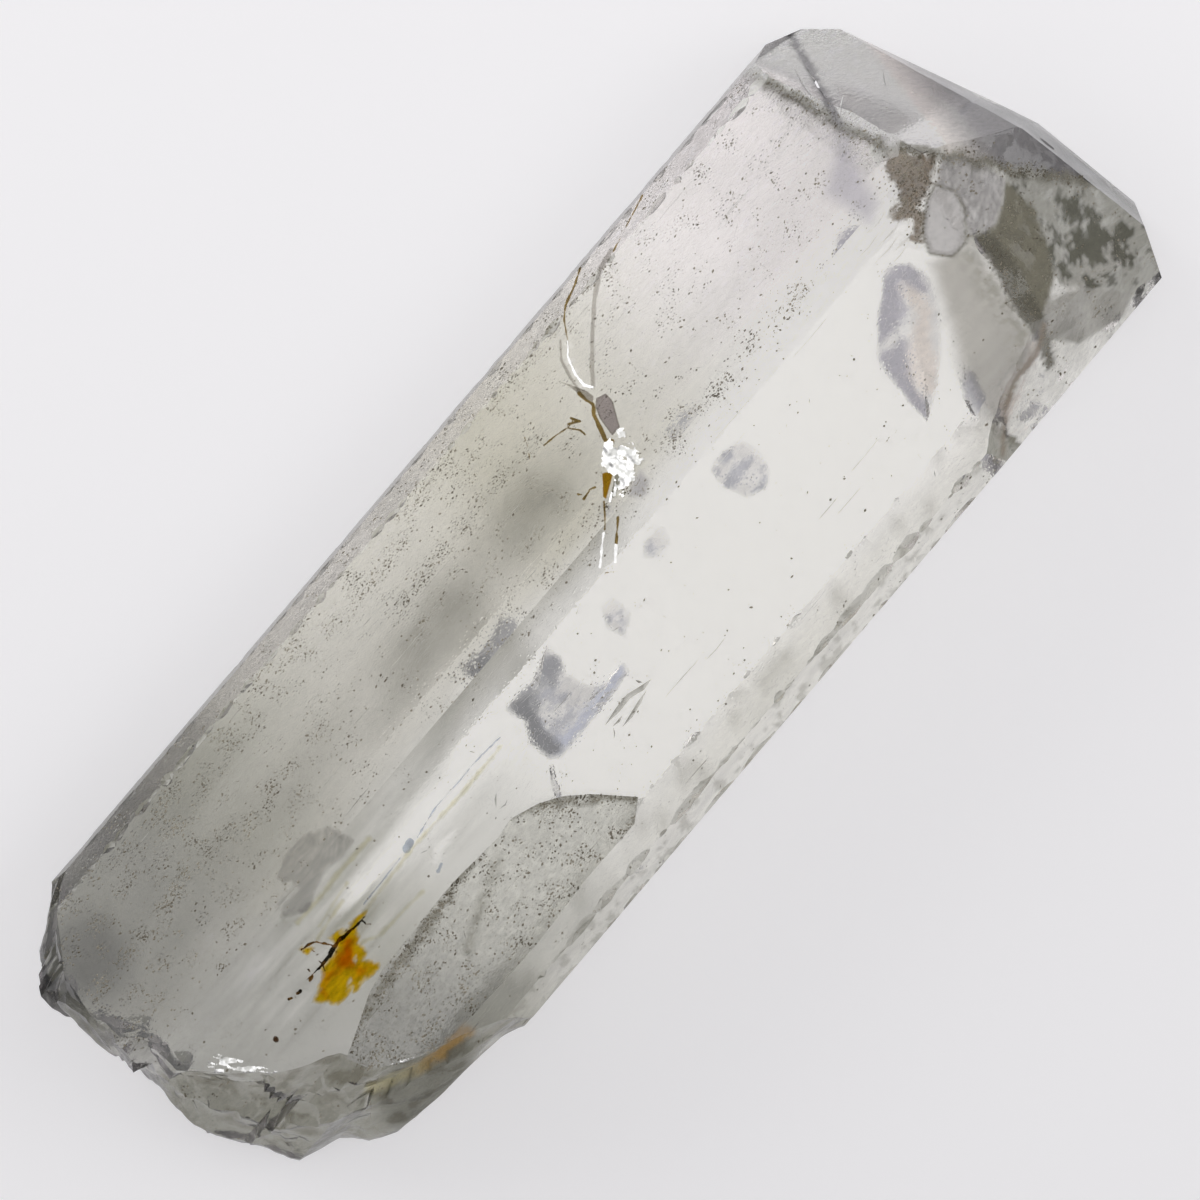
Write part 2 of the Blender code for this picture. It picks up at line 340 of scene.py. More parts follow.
# Etch hollows in the resting face, seen through the clear half. Each has its outline (x, y) on the
# resting face, its roof's outline with as many points, and its height: the walls between them
# lean so far that they turn the light away and look smoky.
ETCH_HOLLOWS = (
    (  # the long blade near the termination
        ((16.7, -0.3), (17.7, -0.95), (17.6, -2.1), (16.9, -3.1), (15.8, -4.1), (14.7, -4.8),
         (13.4, -5.4), (13.45, -4.6), (13.6, -3.65), (13.95, -2.4), (15.0, -1.5), (16.0, -0.85)),
        ((16.75, -0.95), (17.0, -1.15), (16.6, -1.75), (15.9, -2.45), (15.2, -3.25), (14.7, -4.1),
         (14.0, -4.75), (14.1, -4.4), (14.4, -3.7), (14.9, -2.9), (15.5, -2.15), (16.2, -1.5)),
        0.26,
    ),
    (  # the strip beside it
        ((15.95, -5.0), (16.0, -5.55), (15.65, -6.5), (15.2, -7.0), (14.5, -7.1), (14.6, -6.7),
         (15.0, -5.9), (15.45, -5.2)),
        ((15.75, -5.35), (15.75, -5.6), (15.4, -6.2), (15.1, -6.5), (14.8, -6.75), (14.8, -6.6),
         (15.1, -6.1), (15.5, -5.5)),
        0.14,
    ),
    (  # the small one in the middle
        ((8.3, -0.4), (8.5, -1.15), (8.2, -2.1), (7.55, -2.4), (6.8, -2.05), (6.5, -1.15), (6.65, -0.3),
         (7.45, -0.15)),
        ((7.7, -0.75), (7.65, -1.1), (7.5, -1.6), (7.35, -1.8), (7.1, -1.6), (7.05, -1.15), (7.15, -0.85),
         (7.5, -0.7)),
        0.18,
    ),
    (  # the stepped one
        ((-2.35, 0.1), (-2.3, -0.6), (-2.65, -1.15), (-2.45, -2.1), (-1.9, -2.5), (-0.95, -2.5),
         (-1.05, -2.9), (-2.45, -3.05), (-3.8, -3.1), (-5.3, -3.15), (-5.6, -2.8), (-5.65, -1.9),
         (-5.15, -1.15), (-5.3, -0.2), (-4.6, -0.2), (-3.6, -0.35)),
        ((-3.3, -0.5), (-3.35, -0.9), (-3.7, -1.35), (-3.6, -2.0), (-3.2, -2.45), (-2.3, -2.62),
         (-2.2, -2.72), (-2.8, -2.75), (-3.8, -2.65), (-4.6, -2.4), (-4.8, -2.2), (-4.9, -1.8),
         (-4.5, -1.25), (-4.5, -0.8), (-4.25, -0.65), (-3.7, -0.65)),
        0.22,
    ),
    (  # its tail
        ((-5.75, -2.9), (-5.6, -3.0), (-6.5, -4.2), (-6.75, -4.05)),
        ((-5.85, -3.1), (-5.8, -3.15), (-6.4, -3.95), (-6.5, -3.9)),
        0.07,
    ),
    (  # two faint ones
        ((3.9, -0.3), (3.7, -0.9), (2.9, -1.0), (2.5, -0.5), (3.0, -0.1)),
        ((3.3, -0.45), (3.2, -0.6), (3.0, -0.65), (2.9, -0.5), (3.0, -0.4)),
        0.05,
    ),
    (
        ((0.7, -0.6), (0.6, -1.6), (-0.2, -2.0), (-0.4, -1.2), (0.1, -0.5)),
        ((0.3, -0.95), (0.2, -1.35), (0.0, -1.5), (-0.1, -1.2), (0.1, -0.9)),
        0.06,
    ),
)
# painted shade of the hollows' leaning walls, dark, violet-grey and blue, over a cream ground, as
# (x, y): outline, colour, and how soft its edge is
PAINTED_HOLLOW_SHADE = (
    (  # the violet-grey band of the blade
        ((16.55, -0.61), (17.08, -0.61), (17.45, -0.73), (17.57, -1.07), (17.45, -1.61), (17.3, -2.05),
         (17.12, -2.16), (16.9, -1.9), (16.79, -1.56), (16.66, -1.31), (16.42, -1.65), (16.22, -2.04),
         (15.79, -2.15), (15.24, -2.13), (14.48, -2.07), (14.83, -1.65), (15.51, -1.1), (16.05, -0.69)),
        Vector((0.5, 0.49, 0.54)), 0.14,
    ),
    (  # its lower half
        ((15.27, -2.99), (14.84, -3.31), (14.47, -3.71), (14.12, -4.23), (14.02, -4.54), (14.12, -4.81),
         (13.88, -5.1), (13.53, -5.31), (13.36, -5.1), (13.48, -4.52), (13.67, -4.13), (13.77, -3.52),
         (13.87, -2.9), (14.05, -2.39), (14.26, -2.43), (14.75, -2.59), (15.27, -2.59)),
        Vector((0.5, 0.49, 0.54)), 0.14,
    ),
    (  # the strip
        ((15.91, -5.4), (15.82, -5.92), (15.57, -6.66), (15.38, -7.27), (15.28, -7.44), (14.89, -6.98),
         (15.08, -6.29), (15.16, -5.77), (15.54, -5.49)),
        Vector((0.56, 0.56, 0.61)), 0.22,
    ),
    (  # the cream ground between
        ((16.76, -1.32), (16.89, -2.09), (16.7, -2.7), (15.89, -3.3), (15.5, -3.89), (15.08, -4.43),
         (14.52, -4.82), (14.11, -4.64), (14.19, -4.22), (14.47, -3.71), (15.22, -3.03), (15.78, -2.77),
         (16.38, -2.53), (16.47, -1.92)),
        Vector((0.86, 0.8, 0.74)), 0.25,
    ),
    (  # the blue speckled step
        ((-0.87, -2.48), (-1.09, -2.77), (-1.91, -2.91), (-2.63, -2.95), (-3.23, -2.9), (-4.1, -2.99),
         (-4.9, -2.92), (-5.46, -2.93), (-6, -2.73), (-5.57, -2.36), (-5.03, -2.34), (-4.67, -2.54),
         (-3.97, -2.69), (-3.41, -2.59), (-2.59, -2.55), (-1.82, -2.36), (-1.16, -2.36)),
        Vector((0.6, 0.63, 0.73)), 0.16,
    ),
    (  # its dark wall
        ((-4.4, -0.39), (-3.75, -0.58), (-4.15, -1.08), (-4.61, -1.32), (-4.93, -1.92), (-4.89, -2.55),
         (-5.01, -2.89), (-5.45, -2.86), (-5.68, -2.39), (-5.54, -1.78), (-5.36, -1.21), (-5.09, -0.56),
         (-5.06, -0.21)),
        Vector((0.24, 0.245, 0.26)), 0.14,
    ),
    (  # the end of that wall
        ((-2.9, -0.02), (-2.39, -0.42), (-2.65, -0.89), (-3.34, -1.06), (-3.76, -0.76), (-4.23, -0.5),
         (-4.21, -0.23), (-3.54, -0.24)),
        Vector((0.36, 0.365, 0.39)), 0.18,
    ),
)
EDGE_PARTS = 5


def worn_outline(points, height, wear, seed):
    """An outline with every side in short uneven pieces."""
    ring = []
    for n, start in enumerate(points):
        end = points[(n + 1) % len(points)]
        for k in range(EDGE_PARTS):
            spot = Vector(start).lerp(Vector(end), k / EDGE_PARTS)
            shift = noise.noise_vector(Vector((spot.x * 2.3, spot.y * 2.3, seed))) * wear
            ring.append(Vector((spot.x + shift.x, spot.y + shift.y, height)))
    return ring


pits = bmesh.new()
for n, (outline, roof, height) in enumerate(ETCH_HOLLOWS):
    rings = [
        worn_outline(outline, -0.4, 0.05, n),
        worn_outline(outline, 0.0, 0.05, n),
        worn_outline(roof, height, 0.07, n + 9.0),
    ]
    rings = [[pits.verts.new(spot * MM) for spot in ring] for ring in rings]
    pits.faces.new(rings[0])
    pits.faces.new(rings[-1])
    for ring, after in zip(rings, rings[1:]):
        for k in range(len(ring)):
            follow = (k + 1) % len(ring)
            pits.faces.new([ring[k], ring[follow], after[follow], after[k]])

crystal = to_object("crystal_body", body)
cutters = [to_cutter(f"chip_set_{n}", chips["mesh"], "chip") for n, chips in enumerate(chip_sets)]
cutters += [to_cutter("groove_cutter", grooves, "groove"), to_cutter("pit_cutter", pits, "pit")]
for part in (crystal, *cutters):
    for kind in KINDS:
        part.data.materials.append(None)
for cutter in cutters:
    cut = crystal.modifiers.new(cutter.name, "BOOLEAN")
    cut.operation = "DIFFERENCE"
    cut.solver = "EXACT"
    cut.use_self = not cutter.name.startswith("chip_set")
    cut.object = cutter
bpy.context.view_layer.update()
cut_mesh = bpy.data.meshes.new_from_object(crystal.evaluated_get(bpy.context.evaluated_depsgraph_get()))
crystal.modifiers.clear()
for cutter in cutters:
    bpy.data.objects.remove(cutter)

# Every flat face is cut into cells, so that its finish can vary across it, and broken ground is
# split finer still and roughened between its own edges, which stay where they are.
CELL = 0.6
CELL_START = 0.31  # where the first cut lies in its cell, so that none runs along an edge
BREAK_GRAIN = 0.24
CUT_WELD = 0.0005


def once(items):
    """The items, each once and always in the same order, so that each run cuts the same way."""
    return list(dict.fromkeys(items))


body = bmesh.new()
body.from_mesh(cut_mesh)
bmesh.ops.remove_doubles(body, verts=body.verts, dist=CUT_WELD * MM)
fracture = KINDS.index("fracture")
for axis, reach in ((0, 25.0), (1, 8.5)):
    for n in range(round(-reach / CELL), round(reach / CELL) + 1):
        across = Vector((axis == 0, axis == 1, 0.0))
        flat = [face for face in body.faces if face.material_index != fracture]
        edges = once(edge for face in flat for edge in face.edges)
        verts = once(vert for face in flat for vert in face.verts)
        bmesh.ops.bisect_plane(body, geom=verts + edges + flat,
                               plane_co=across * (n + CELL_START) * CELL * MM, plane_no=across)
FINE = (fracture, KINDS.index("pit"))
for _ in range(2):
    rough = [face for face in body.faces if face.material_index in FINE]
    bmesh.ops.triangulate(body, faces=rough)
    rough = [face for face in body.faces if face.material_index in FINE]
    edges = once(edge for face in rough for edge in face.edges if edge.calc_length() > BREAK_GRAIN * MM)
    bmesh.ops.subdivide_edges(body, edges=edges, cuts=1, use_grid_fill=True)
rough = [face for face in body.faces if face.material_index in FINE and len(face.verts) > 3]
bmesh.ops.triangulate(body, faces=rough)

# The upper skin is cut finer to carry its dirt and low growth steps, and finest where it is busy:
# (lowest x, highest x, lowest y, highest y)
BUSY_GROUND = ((17.8, 25.0, -8.6, 3.2), (3.3, 5.8, 0.8, 3.6), (-15.8, -5.4, -1.2, 0.5))
UPPER = [KINDS.index(kind) for kind in ("clear", "etched", "plateau", "rim", "cap")]
FACES_UP = 0.1  # a face whose normal rises more than this belongs to the upper skin


def split_upper(cuts, ground=None):
    """Splits the faces of the upper skin whose middle is on the given ground."""
    faces = []
    for face in body.faces:
        if face.material_index in UPPER and face.normal.z > FACES_UP:
            x, y, _ = face.calc_center_median() / MM
            if ground is None or any(a < x < b and c < y < d for a, b, c, d in ground):
                faces.append(face)
    many = [face for face in faces if len(face.verts) > 4]
    faces = [face for face in faces if len(face.verts) <= 4]
    faces += bmesh.ops.triangulate(body, faces=many)["faces"]
    edges = once(edge for face in faces for edge in face.edges)
    bmesh.ops.subdivide_edges(body, edges=edges, cuts=cuts, use_grid_fill=True)


split_upper(2)
split_upper(1, BUSY_GROUND)

# where two slivers lie folded on each other they leave the skin, and it is closed over them
for edge in [edge for edge in body.edges if len(edge.link_faces) > 2]:
    if edge.is_valid and len(edge.link_faces) > 2:
        slivers = sorted(edge.link_faces, key=lambda face: face.calc_area())[:2]
        tips = once(vert for face in slivers for vert in face.verts if vert not in edge.verts[:])
        bmesh.ops.delete(body, geom=slivers, context="FACES")
        tips = [vert for vert in tips if vert.is_valid]
        if len(tips) == 2:
            bmesh.ops.pointmerge(body, verts=tips, merge_co=tips[0].co)
bmesh.ops.delete(body, geom=[edge for edge in body.edges if not edge.link_faces], context="EDGES")


def eased(value, low, high):
    """A smooth step from 0 at one limit to 1 at the other."""
    share = min(1.0, max(0.0, (value - low) / (high - low)))
    return share * share * (3.0 - 2.0 * share)


def ripple(x, y, z):
    """Smooth noise, from -1 to 1."""
    return noise.noise(Vector((x, y, z)))


def rough_noise(spot, scale, octaves=3):
    """Uneven noise, from about 0 to 1."""
    return 0.5 + 0.5 * noise.fractal(spot * scale, 0.9, 2.1, octaves)


def gap_to(x, y, line, closed=False):
    """The distance from (x, y) to a line through points."""
    nearest = 1e9
    for n in range(0 if closed else 1, len(line)):
        (ax, ay), (bx, by) = line[n - 1], line[n]
        dx, dy = bx - ax, by - ay
        share = min(1.0, max(0.0, ((x - ax) * dx + (y - ay) * dy) / (dx * dx + dy * dy)))
        nearest = min(nearest, (x - ax - share * dx) ** 2 + (y - ay - share * dy) ** 2)
    return math.sqrt(nearest)


def depth_in(x, y, outline):
    """How far inside an outline (x, y) is; below zero outside it."""
    inside = False
    for n, (ax, ay) in enumerate(outline):
        bx, by = outline[n - 1]
        if (ay > y) != (by > y) and x < ax + (y - ay) / (by - ay) * (bx - ax):
            inside = not inside
    return gap_to(x, y, outline, True) * (1.0 if inside else -1.0)


def within(x, y, outline, low, high):
    """How fully (x, y) is inside an outline, from 0 to 1, between two depths."""
    return eased(depth_in(x, y, outline), low, high)


def beside(x, y, line, far, close):
    """How near (x, y) is to a line, from 0 at the far distance to 1 at the close one."""
    return eased(gap_to(x, y, line), far, close)


spans = {}


def near(x, y, points, margin):
    """Whether (x, y) is in the box around the points, with a margin."""
    if id(points) not in spans:
        xs, ys = zip(*points)
        spans[id(points)] = (min(xs), max(xs), min(ys), max(ys))
    low_x, high_x, low_y, high_y = spans[id(points)]
    return low_x - margin < x < high_x + margin and low_y - margin < y < high_y + margin


# Lines and outlines on the upper skin, as (x, y). The termination's own start at CAP_START.
CAP_START = 17.0
CAP_LINE = ((19.16, 7.79), (19.55, 6.2), (19.71, 4.39), (20.24, 2.64), (21.33, 0.81), (22.02, -0.26),
            (22.62, -1.68), (23.69, -3.26), (24.92, -4.96))
CAP_FACE = CAP_LINE + ((26.5, -5.4), (26.5, 9.5), (19.0, 9.5))
CAP_CRACK = ((21.28, 8.22), (20.81, 6.99), (20.16, 5.48), (19.71, 4.39), (19.33, 4.35))
CAP_SCAR = ((23.1, 1.22), (24.14, 1.14))
EARTH_PATCH = ((20.2, 2.5), (21.28, 0.77), (20.29, 0.47), (19.35, -0.05), (18.32, -0.79), (18.15, -0.33),
               (18.7, 0.1), (18.3, 0.6), (19.2, 1.15), (19.45, 1.9))
UPPER_FLAKE = ((21.28, 0.77), (22.02, -0.26), (22.21, -1.62), (21.42, -2.15), (20.58, -2.46),
               (19.64, -2.01), (19.99, -1.44), (20.26, 0.18))
LOWER_FLAKE = ((20.26, 0.18), (20.51, -0.44), (20.31, -1.17), (19.37, -2.02), (18.67, -2.01),
               (18.21, -1.3), (18.61, -0.63), (19.58, 0.01))
OLIVE_FACE = ((22.21, -1.62), (22.51, -3.43), (21.02, -5.25), (20.25, -5.63), (18.86, -6.27),
              (18.97, -4.79), (19.55, -3.19), (19.64, -2.01), (20.58, -2.46), (21.42, -2.15))
FURRY_BAND = ((19.86, -2.1), (19.4, -3.19), (18.75, -4.79), (18.45, -6.0), (17.95, -7.0), (17.7, -7.55),
              (18.1, -7.6), (18.7, -6.9), (19.2, -6.1), (19.5, -5.3), (19.85, -4.4), (20.3, -2.67))
BLOTCHED_FACE = ((22.3, -0.9), (23.64, -3.3), (25.2, -4.99), (24.9, -6.58), (23.59, -8.46),
                 (22.27, -8.33), (21.2, -6.75), (20.38, -5.79), (21.39, -4.38), (22.08, -3.25))
PALE_FACET = ((19.71, -5.82), (20.93, -6.43), (22.21, -8.1), (21.22, -8.39), (19.33, -7.8),
              (18.73, -6.93), (18.79, -6.19))
COMBED_FACE = ((17.89, -1.57), (19.64, -2.01), (18.89, -4.86), (18.56, -6.25), (17.46, -6.9),
               (16.42, -6.97), (14.48, -7.93), (15.35, -5.39))
RIM_CRACK = ((18.92, -6.35), (17.92, -6.79), (16.58, -6.83), (15.57, -7.27), (14.22, -8.29))
DUSK_EDGE = ((19.79, 4.46), (18.86, 3.12), (18.28, 1.53), (17.67, 1.28), (17.51, 3.08), (19.07, 3.85))
PLATEAU_RIM = ((-18.26, -3.67), (-16.1, -3.58), (-13.81, -3.36), (-11.51, -3.14), (-9.74, -2.87),
               (-8.23, -2.73), (-6.94, -3.72), (-6.09, -4.48), (-5.18, -5.2), (-4.41, -6.28),
               (-4.84, -6.7), (-5.97, -7.01), (-7.28, -7.34), (-9.06, -7.76))
PLATEAU_SEAM = ((-9.57, -3.71), (-11.2, -4.3), (-13.01, -5.06))
SHATTERED = ((4.95, 3.39), (5.64, 3.28), (5.59, 2.64), (5.31, 1.91), (4.66, 1.75), (4.98, 1.72),
             (4.38, 1.61), (3.93, 1.43), (3.5, 1.76), (4.2, 2.3), (4.16, 2.91), (4.4, 3.22))
SHARD = ((3.93, 1.43), (4.38, 1.61), (4.92, 1.67), (4.83, 1.2), (4.43, 0.96), (4.17, 1.03))
WHITE_STREAK = ((-5.6, -0.29), (-9.03, -0.31), (-11.82, -0.32), (-14.0, -0.22), (-16.2, -0.36),
                (-15.3, -0.5), (-13.4, -0.74), (-11.29, -0.9), (-9.08, -0.96), (-6.63, -0.82),
                (-5.58, -0.8))
WHITE_WEDGE = ((-9.49, -1.78), (-11.46, -2.16), (-10.87, -1.51))
OCHRE_STREAK = ((-15.3, -7.0), (-16.3, -6.85), (-17.2, -6.7), (-18.2, -6.3), (-19.3, -5.7))
PALE_NEEDLES = (((2.24, 1.2), (1.73, 0.86), (1.2, 0.49)), ((2.2, 0.55), (1.71, 0.18)),
                ((6.91, 6.97), (6.43, 6.54), (6.11, 5.87), (6.02, 5.39), (6.18, 5.09)))
DUSTY_LINES = (
    ((9.96, 7.66), (9.16, 7.77), (7.83, 7.93), (7.06, 7.67), (5.07, 7.67), (0.64, 7.97), (-4.39, 8.15)),
    ((14.6, 1.45), (8.17, 1.5), (4.9, 1.45)),
    ((3.4, 5.4), (0.23, 5.6), (-2.34, 5.4), (-4.61, 5.3)),
    ((1.91, 7.06), (-0.51, 6.99), (-3.75, 6.71), (-8.84, 6.85), (-15.2, 6.5)),
    ((-9.0, 4.4), (-12.2, 4.4), (-17.0, 4.8), (-19.5, 4.85), (-22.1, 4.5), (-23.7, 4.6)),
    ((-15.0, 7.3), (-19.6, 7.1)),
    ((-16.0, 6.2), (-18.3, 6.4), (-21.5, 6.2)),
    ((-22.9, 3.1), (-23.9, 2.4)),
)


# Low relief of the upper skin: growth grooves along the prism, the flakes' steps and the
# granular etched ground.
def relief(spot, kind):
    """How far the skin stands proud at a place, in millimetres."""
    x, y, _ = spot
    if kind == "etched":
        rise = 0.005 * ripple(x * 0.16, y * 1.3, 3.0)
        rise += 0.0012 * ripple(x * 0.5, y * 4.2, 7.0)
    elif kind == "clear":
        rise = 0.002 * ripple(x * 0.5, y * 3.2, 5.0)
    elif kind == "plateau":
        rise = 0.014 * noise.noise(spot * 2.6) + 0.008 * noise.noise(spot * 5.1)
        rise -= 0.06 * beside(x, y, PLATEAU_SEAM, 0.25, 0.0)
    else:
        rise = 0.006 * noise.noise(spot * 1.1) + 0.004 * ripple(x * 0.7, y * 5.0, 2.0)
    if x > CAP_START:
        rise -= 0.07 * beside(x, y, CAP_LINE, 0.22, 0.0)
        rise -= 0.06 * beside(x, y, CAP_CRACK, 0.16, 0.0)
        rise -= 0.05 * beside(x, y, CAP_SCAR, 0.14, 0.0)
        if kind != "cap":
            rise += 0.07 * within(x, y, LOWER_FLAKE, -0.02, 0.12)
            rise += 0.05 * within(x, y, UPPER_FLAKE, -0.02, 0.14)
            rise -= 0.05 * eased(depth_in(x, y, OLIVE_FACE) + 0.2 * noise.noise(spot * 2.0), -0.05, 0.3)
            rise += 0.012 * noise.noise(spot * 2.4)
    if near(x, y, SHATTERED, 0.2):
        broken = within(x, y, SHATTERED, -0.05, 0.2)
        rise += broken * 0.09 * noise.noise(spot * 3.6 + Vector((2.0, 0.0, 0.0)))
    return rise


body.normal_update()
moves = []
for vert in body.verts:
    kinds = {face.material_index for face in vert.link_faces}
    spot = vert.co / MM
    if kinds == {fracture}:
        push = 0.034 * noise.noise(spot * 1.7) + 0.016 * noise.noise(spot * 4.3 + Vector((5.0, 0.0, 0.0)))
        room = 0.4 * min(edge.calc_length() for edge in vert.link_edges) / MM
        moves.append((vert, -min(room, max(-0.02, -room, push))))
    elif len(kinds) == 1 and kinds <= set(UPPER) and vert.normal.z > FACES_UP:
        moves.append((vert, min(0.05, relief(spot, KINDS[kinds.pop()]))))
for vert, rise in moves:
    vert.co += vert.normal * rise * MM

SMOOTH_BELOW = math.radians(20)
WALL_SMOOTH_BELOW = math.radians(95)  # on the worn steep wall of the broken end
for face in body.faces:
    kind = face.material_index
    face.smooth = KINDS[kind] in ("fracture", "chip") or kind in UPPER
for edge in body.edges:
    kinds = {face.material_index for face in edge.link_faces}
    x, y, _ = edge.verts[0].co / MM
    worn = math.hypot((x + 17.6) / 2.8, (y + 6.9) / 1.4) < 1.0
    crease = WALL_SMOOTH_BELOW if worn else SMOOTH_BELOW
    edge.smooth = edge.is_manifold and len(kinds) == 1 and edge.calc_face_angle(0.0) < crease

# What each part of the crystal's skin lets through, as a share of the light, and how dull it is,
# with painted shade and painted light over parts of it.
CLEAN = Vector((0.99, 0.993, 0.962))
ROSY = Vector((0.985, 0.955, 0.945))
# the three olive greys below are painted shade; the warm one also tints the underside's clouds
SHADE_GREY = Vector((0.26, 0.26, 0.19))
WARM_SHADE_AND_DIRT = Vector((0.35, 0.33, 0.17))
COLD_SHADE_GREY = Vector((0.285, 0.285, 0.245))
BROKEN = Vector((0.39, 0.39, 0.34))
OLIVE = Vector((0.225, 0.215, 0.16))
EARTH = Vector((0.235, 0.18, 0.115))
OCHRE = Vector((0.52, 0.31, 0.06))
DUSK = Vector((0.43, 0.42, 0.45))
FLAKE_WHITE = Vector((0.59, 0.58, 0.57))
PIT_GROUND = Vector((0.9, 0.895, 0.875))
PIT_SHADE_BLUE = Vector((0.52, 0.53, 0.58))
DULLNESS = {
    "clear": 0.02, "etched": 0.07, "plateau": 0.2, "base": 0.02, "underside": 0.09, "rim": 0.1,
    "cap": 0.22, "fracture": 0.17, "chip": 0.1, "pit": 0.12, "groove": 0.1,
}
# soft clouds on the hidden underside: (x, y), radii along X and Y, and how dark
CLOUDS = (
    ((1.0, 2.2), (2.9, 1.7), 0.68),
    ((-4.6, 2.1), (3.1, 1.5), 0.62),
    ((-7.0, 0.9), (3.4, 1.0), 0.26),
    ((-3.7, 0.4), (1.5, 0.9), 0.4),
    ((-12.5, 2.6), (5.0, 1.6), 0.22),
    ((-22.4, 4.4), (1.9, 1.9), 0.56),
    ((-17.5, 5.6), (4.0, 1.2), 0.2),
)


def ragged(depth, spot, wear, scale):
    """A depth with an uneven edge."""
    return depth + 2.0 * wear * (rough_noise(spot, scale, 4) - 0.5)


def termination_finish_and_shade(tint, spot):
    """The broken and dirty ground around the cap, and the painted light and shade on the cap."""
    x, y, _ = spot
    cap_depth = depth_in(x, y, CAP_FACE) if x > 18.5 else -9.0
    if cap_depth > 0.0:
        # painted light and shade: the cap is lighter at its near end and darker toward its far end, most
        # toward -Y
        far = eased(x - 0.25 * y, 20.6, 23.2)
        shade = Vector((1.3, 1.24, 1.22)).lerp(DUSK * (0.8 - 0.32 * eased(y, 1.0, -4.0)), far)
        tint = Vector([min(1.0, a * b) for a, b in zip(tint, shade)])
        dirty = ragged(-gap_to(x, y, CAP_LINE), spot, 0.25, 2.4)
        tint = tint.lerp(OLIVE, 0.8 * eased(dirty, -0.35, 0.0))
        # painted shade in the cap's crack and scar grooves
        marks = min(gap_to(x, y, CAP_CRACK) - 0.08, gap_to(x, y, CAP_SCAR))
        return tint.lerp(DUSK * 0.7, 0.85 * eased(marks, 0.14, 0.04))
    if near(x, y, DUSK_EDGE, 0.6):
        tint = tint.lerp(Vector((0.6, 0.58, 0.64)), 0.8 * within(x, y, DUSK_EDGE, -0.5, 0.3))
    if near(x, y, COMBED_FACE, 0.5):
        depth = ragged(depth_in(x, y, COMBED_FACE), spot, 0.1, 1.5)
        combed = 0.97 + 0.08 * ripple(x * 0.8, y * 2.4, 0.0)
        near_olive = eased(gap_to(x, y, FURRY_BAND, True), 1.5, 0.1)
        shade = Vector((0.54, 0.525, 0.48)) * combed * (1.0 - 0.2 * eased(y, -4.0, -7.0))
        speckled = near_olive * eased(rough_noise(spot, 2.6, 4), 0.3, 0.66)
        shade = shade.lerp(Vector((0.33, 0.32, 0.26)), 0.85 * speckled)
        tint = tint.lerp(shade, eased(depth, -0.35, 0.5))
    if near(x, y, OLIVE_FACE, 0.3):
        grain = 0.88 + 0.3 * rough_noise(spot, 3.0, 3)
        edge = ragged(depth_in(x, y, OLIVE_FACE), spot, 0.05, 2.0)
        tint = tint.lerp(OLIVE * 0.98 * grain, eased(edge, -0.12, 0.12))
    if near(x, y, PALE_FACET, 0.3):
        shade = Vector((0.46, 0.455, 0.42)) * (0.85 + 0.3 * rough_noise(spot, 0.8, 2))
        tint = tint.lerp(shade, within(x, y, PALE_FACET, -0.1, 0.08))
    if near(x, y, BLOTCHED_FACE, 0.3):
        inside = eased(ragged(depth_in(x, y, BLOTCHED_FACE), spot, 0.12, 1.6), -0.08, 0.08)
        middle = 1.0 - min(1.0, math.hypot((x - 22.6) / 2.1, (y + 5.7) / 2.4))
        blotch = eased(rough_noise(spot, 1.6, 6) + 0.5 * middle, 0.7, 0.76)
        shade = Vector((0.48, 0.48, 0.44)).lerp(Vector((0.16, 0.16, 0.125)), blotch)
        tint = tint.lerp(shade, inside)
    if near(x, y, FURRY_BAND, 0.4):
        comb = 0.16 * ripple(y * 9.0, x * 1.2, 4.0)
        furry = eased(depth_in(x, y, FURRY_BAND) + comb, -0.1, 0.12)
        tint = tint.lerp(OLIVE * 0.62, 0.9 * furry)
    if near(x, y, EARTH_PATCH, 0.5):
        soil = eased(ragged(depth_in(x, y, EARTH_PATCH), spot, 0.3, 2.2), -0.1, 0.15)
        grain = 0.7 + 0.7 * rough_noise(spot, 4.0, 4)
        tint = tint.lerp(EARTH * 0.8 * grain, 0.95 * soil)
    if near(x, y, UPPER_FLAKE, 0.2):
        fibres = 0.85 + 0.35 * ripple(x * 2.2 + y * 2.6, (x - y) * 9.0, 1.0)
        tint = tint.lerp(FLAKE_WHITE * fibres, within(x, y, UPPER_FLAKE, -0.04, 0.06))
    if near(x, y, LOWER_FLAKE, 0.3):
        depth = depth_in(x, y, LOWER_FLAKE)
        grain = 0.92 + 0.16 * rough_noise(spot, 5.0, 2)
        tint = tint.lerp(OLIVE * 0.8, 0.8 * eased(depth, -0.16, -0.02) * eased(depth, 0.1, -0.02))
        tint = tint.lerp(FLAKE_WHITE * grain, eased(depth, -0.02, 0.07))
    dirty = ragged(-gap_to(x, y, CAP_LINE), spot, 0.22, 2.0)
    tint = tint.lerp(OLIVE * 0.8, 0.85 * eased(dirty, -0.42, -0.05))
    crack = gap_to(x, y, RIM_CRACK)
    return tint.lerp(EARTH, 0.75 * eased(crack + 0.16 * (rough_noise(spot, 3.0) - 0.5), 0.16, 0.04))


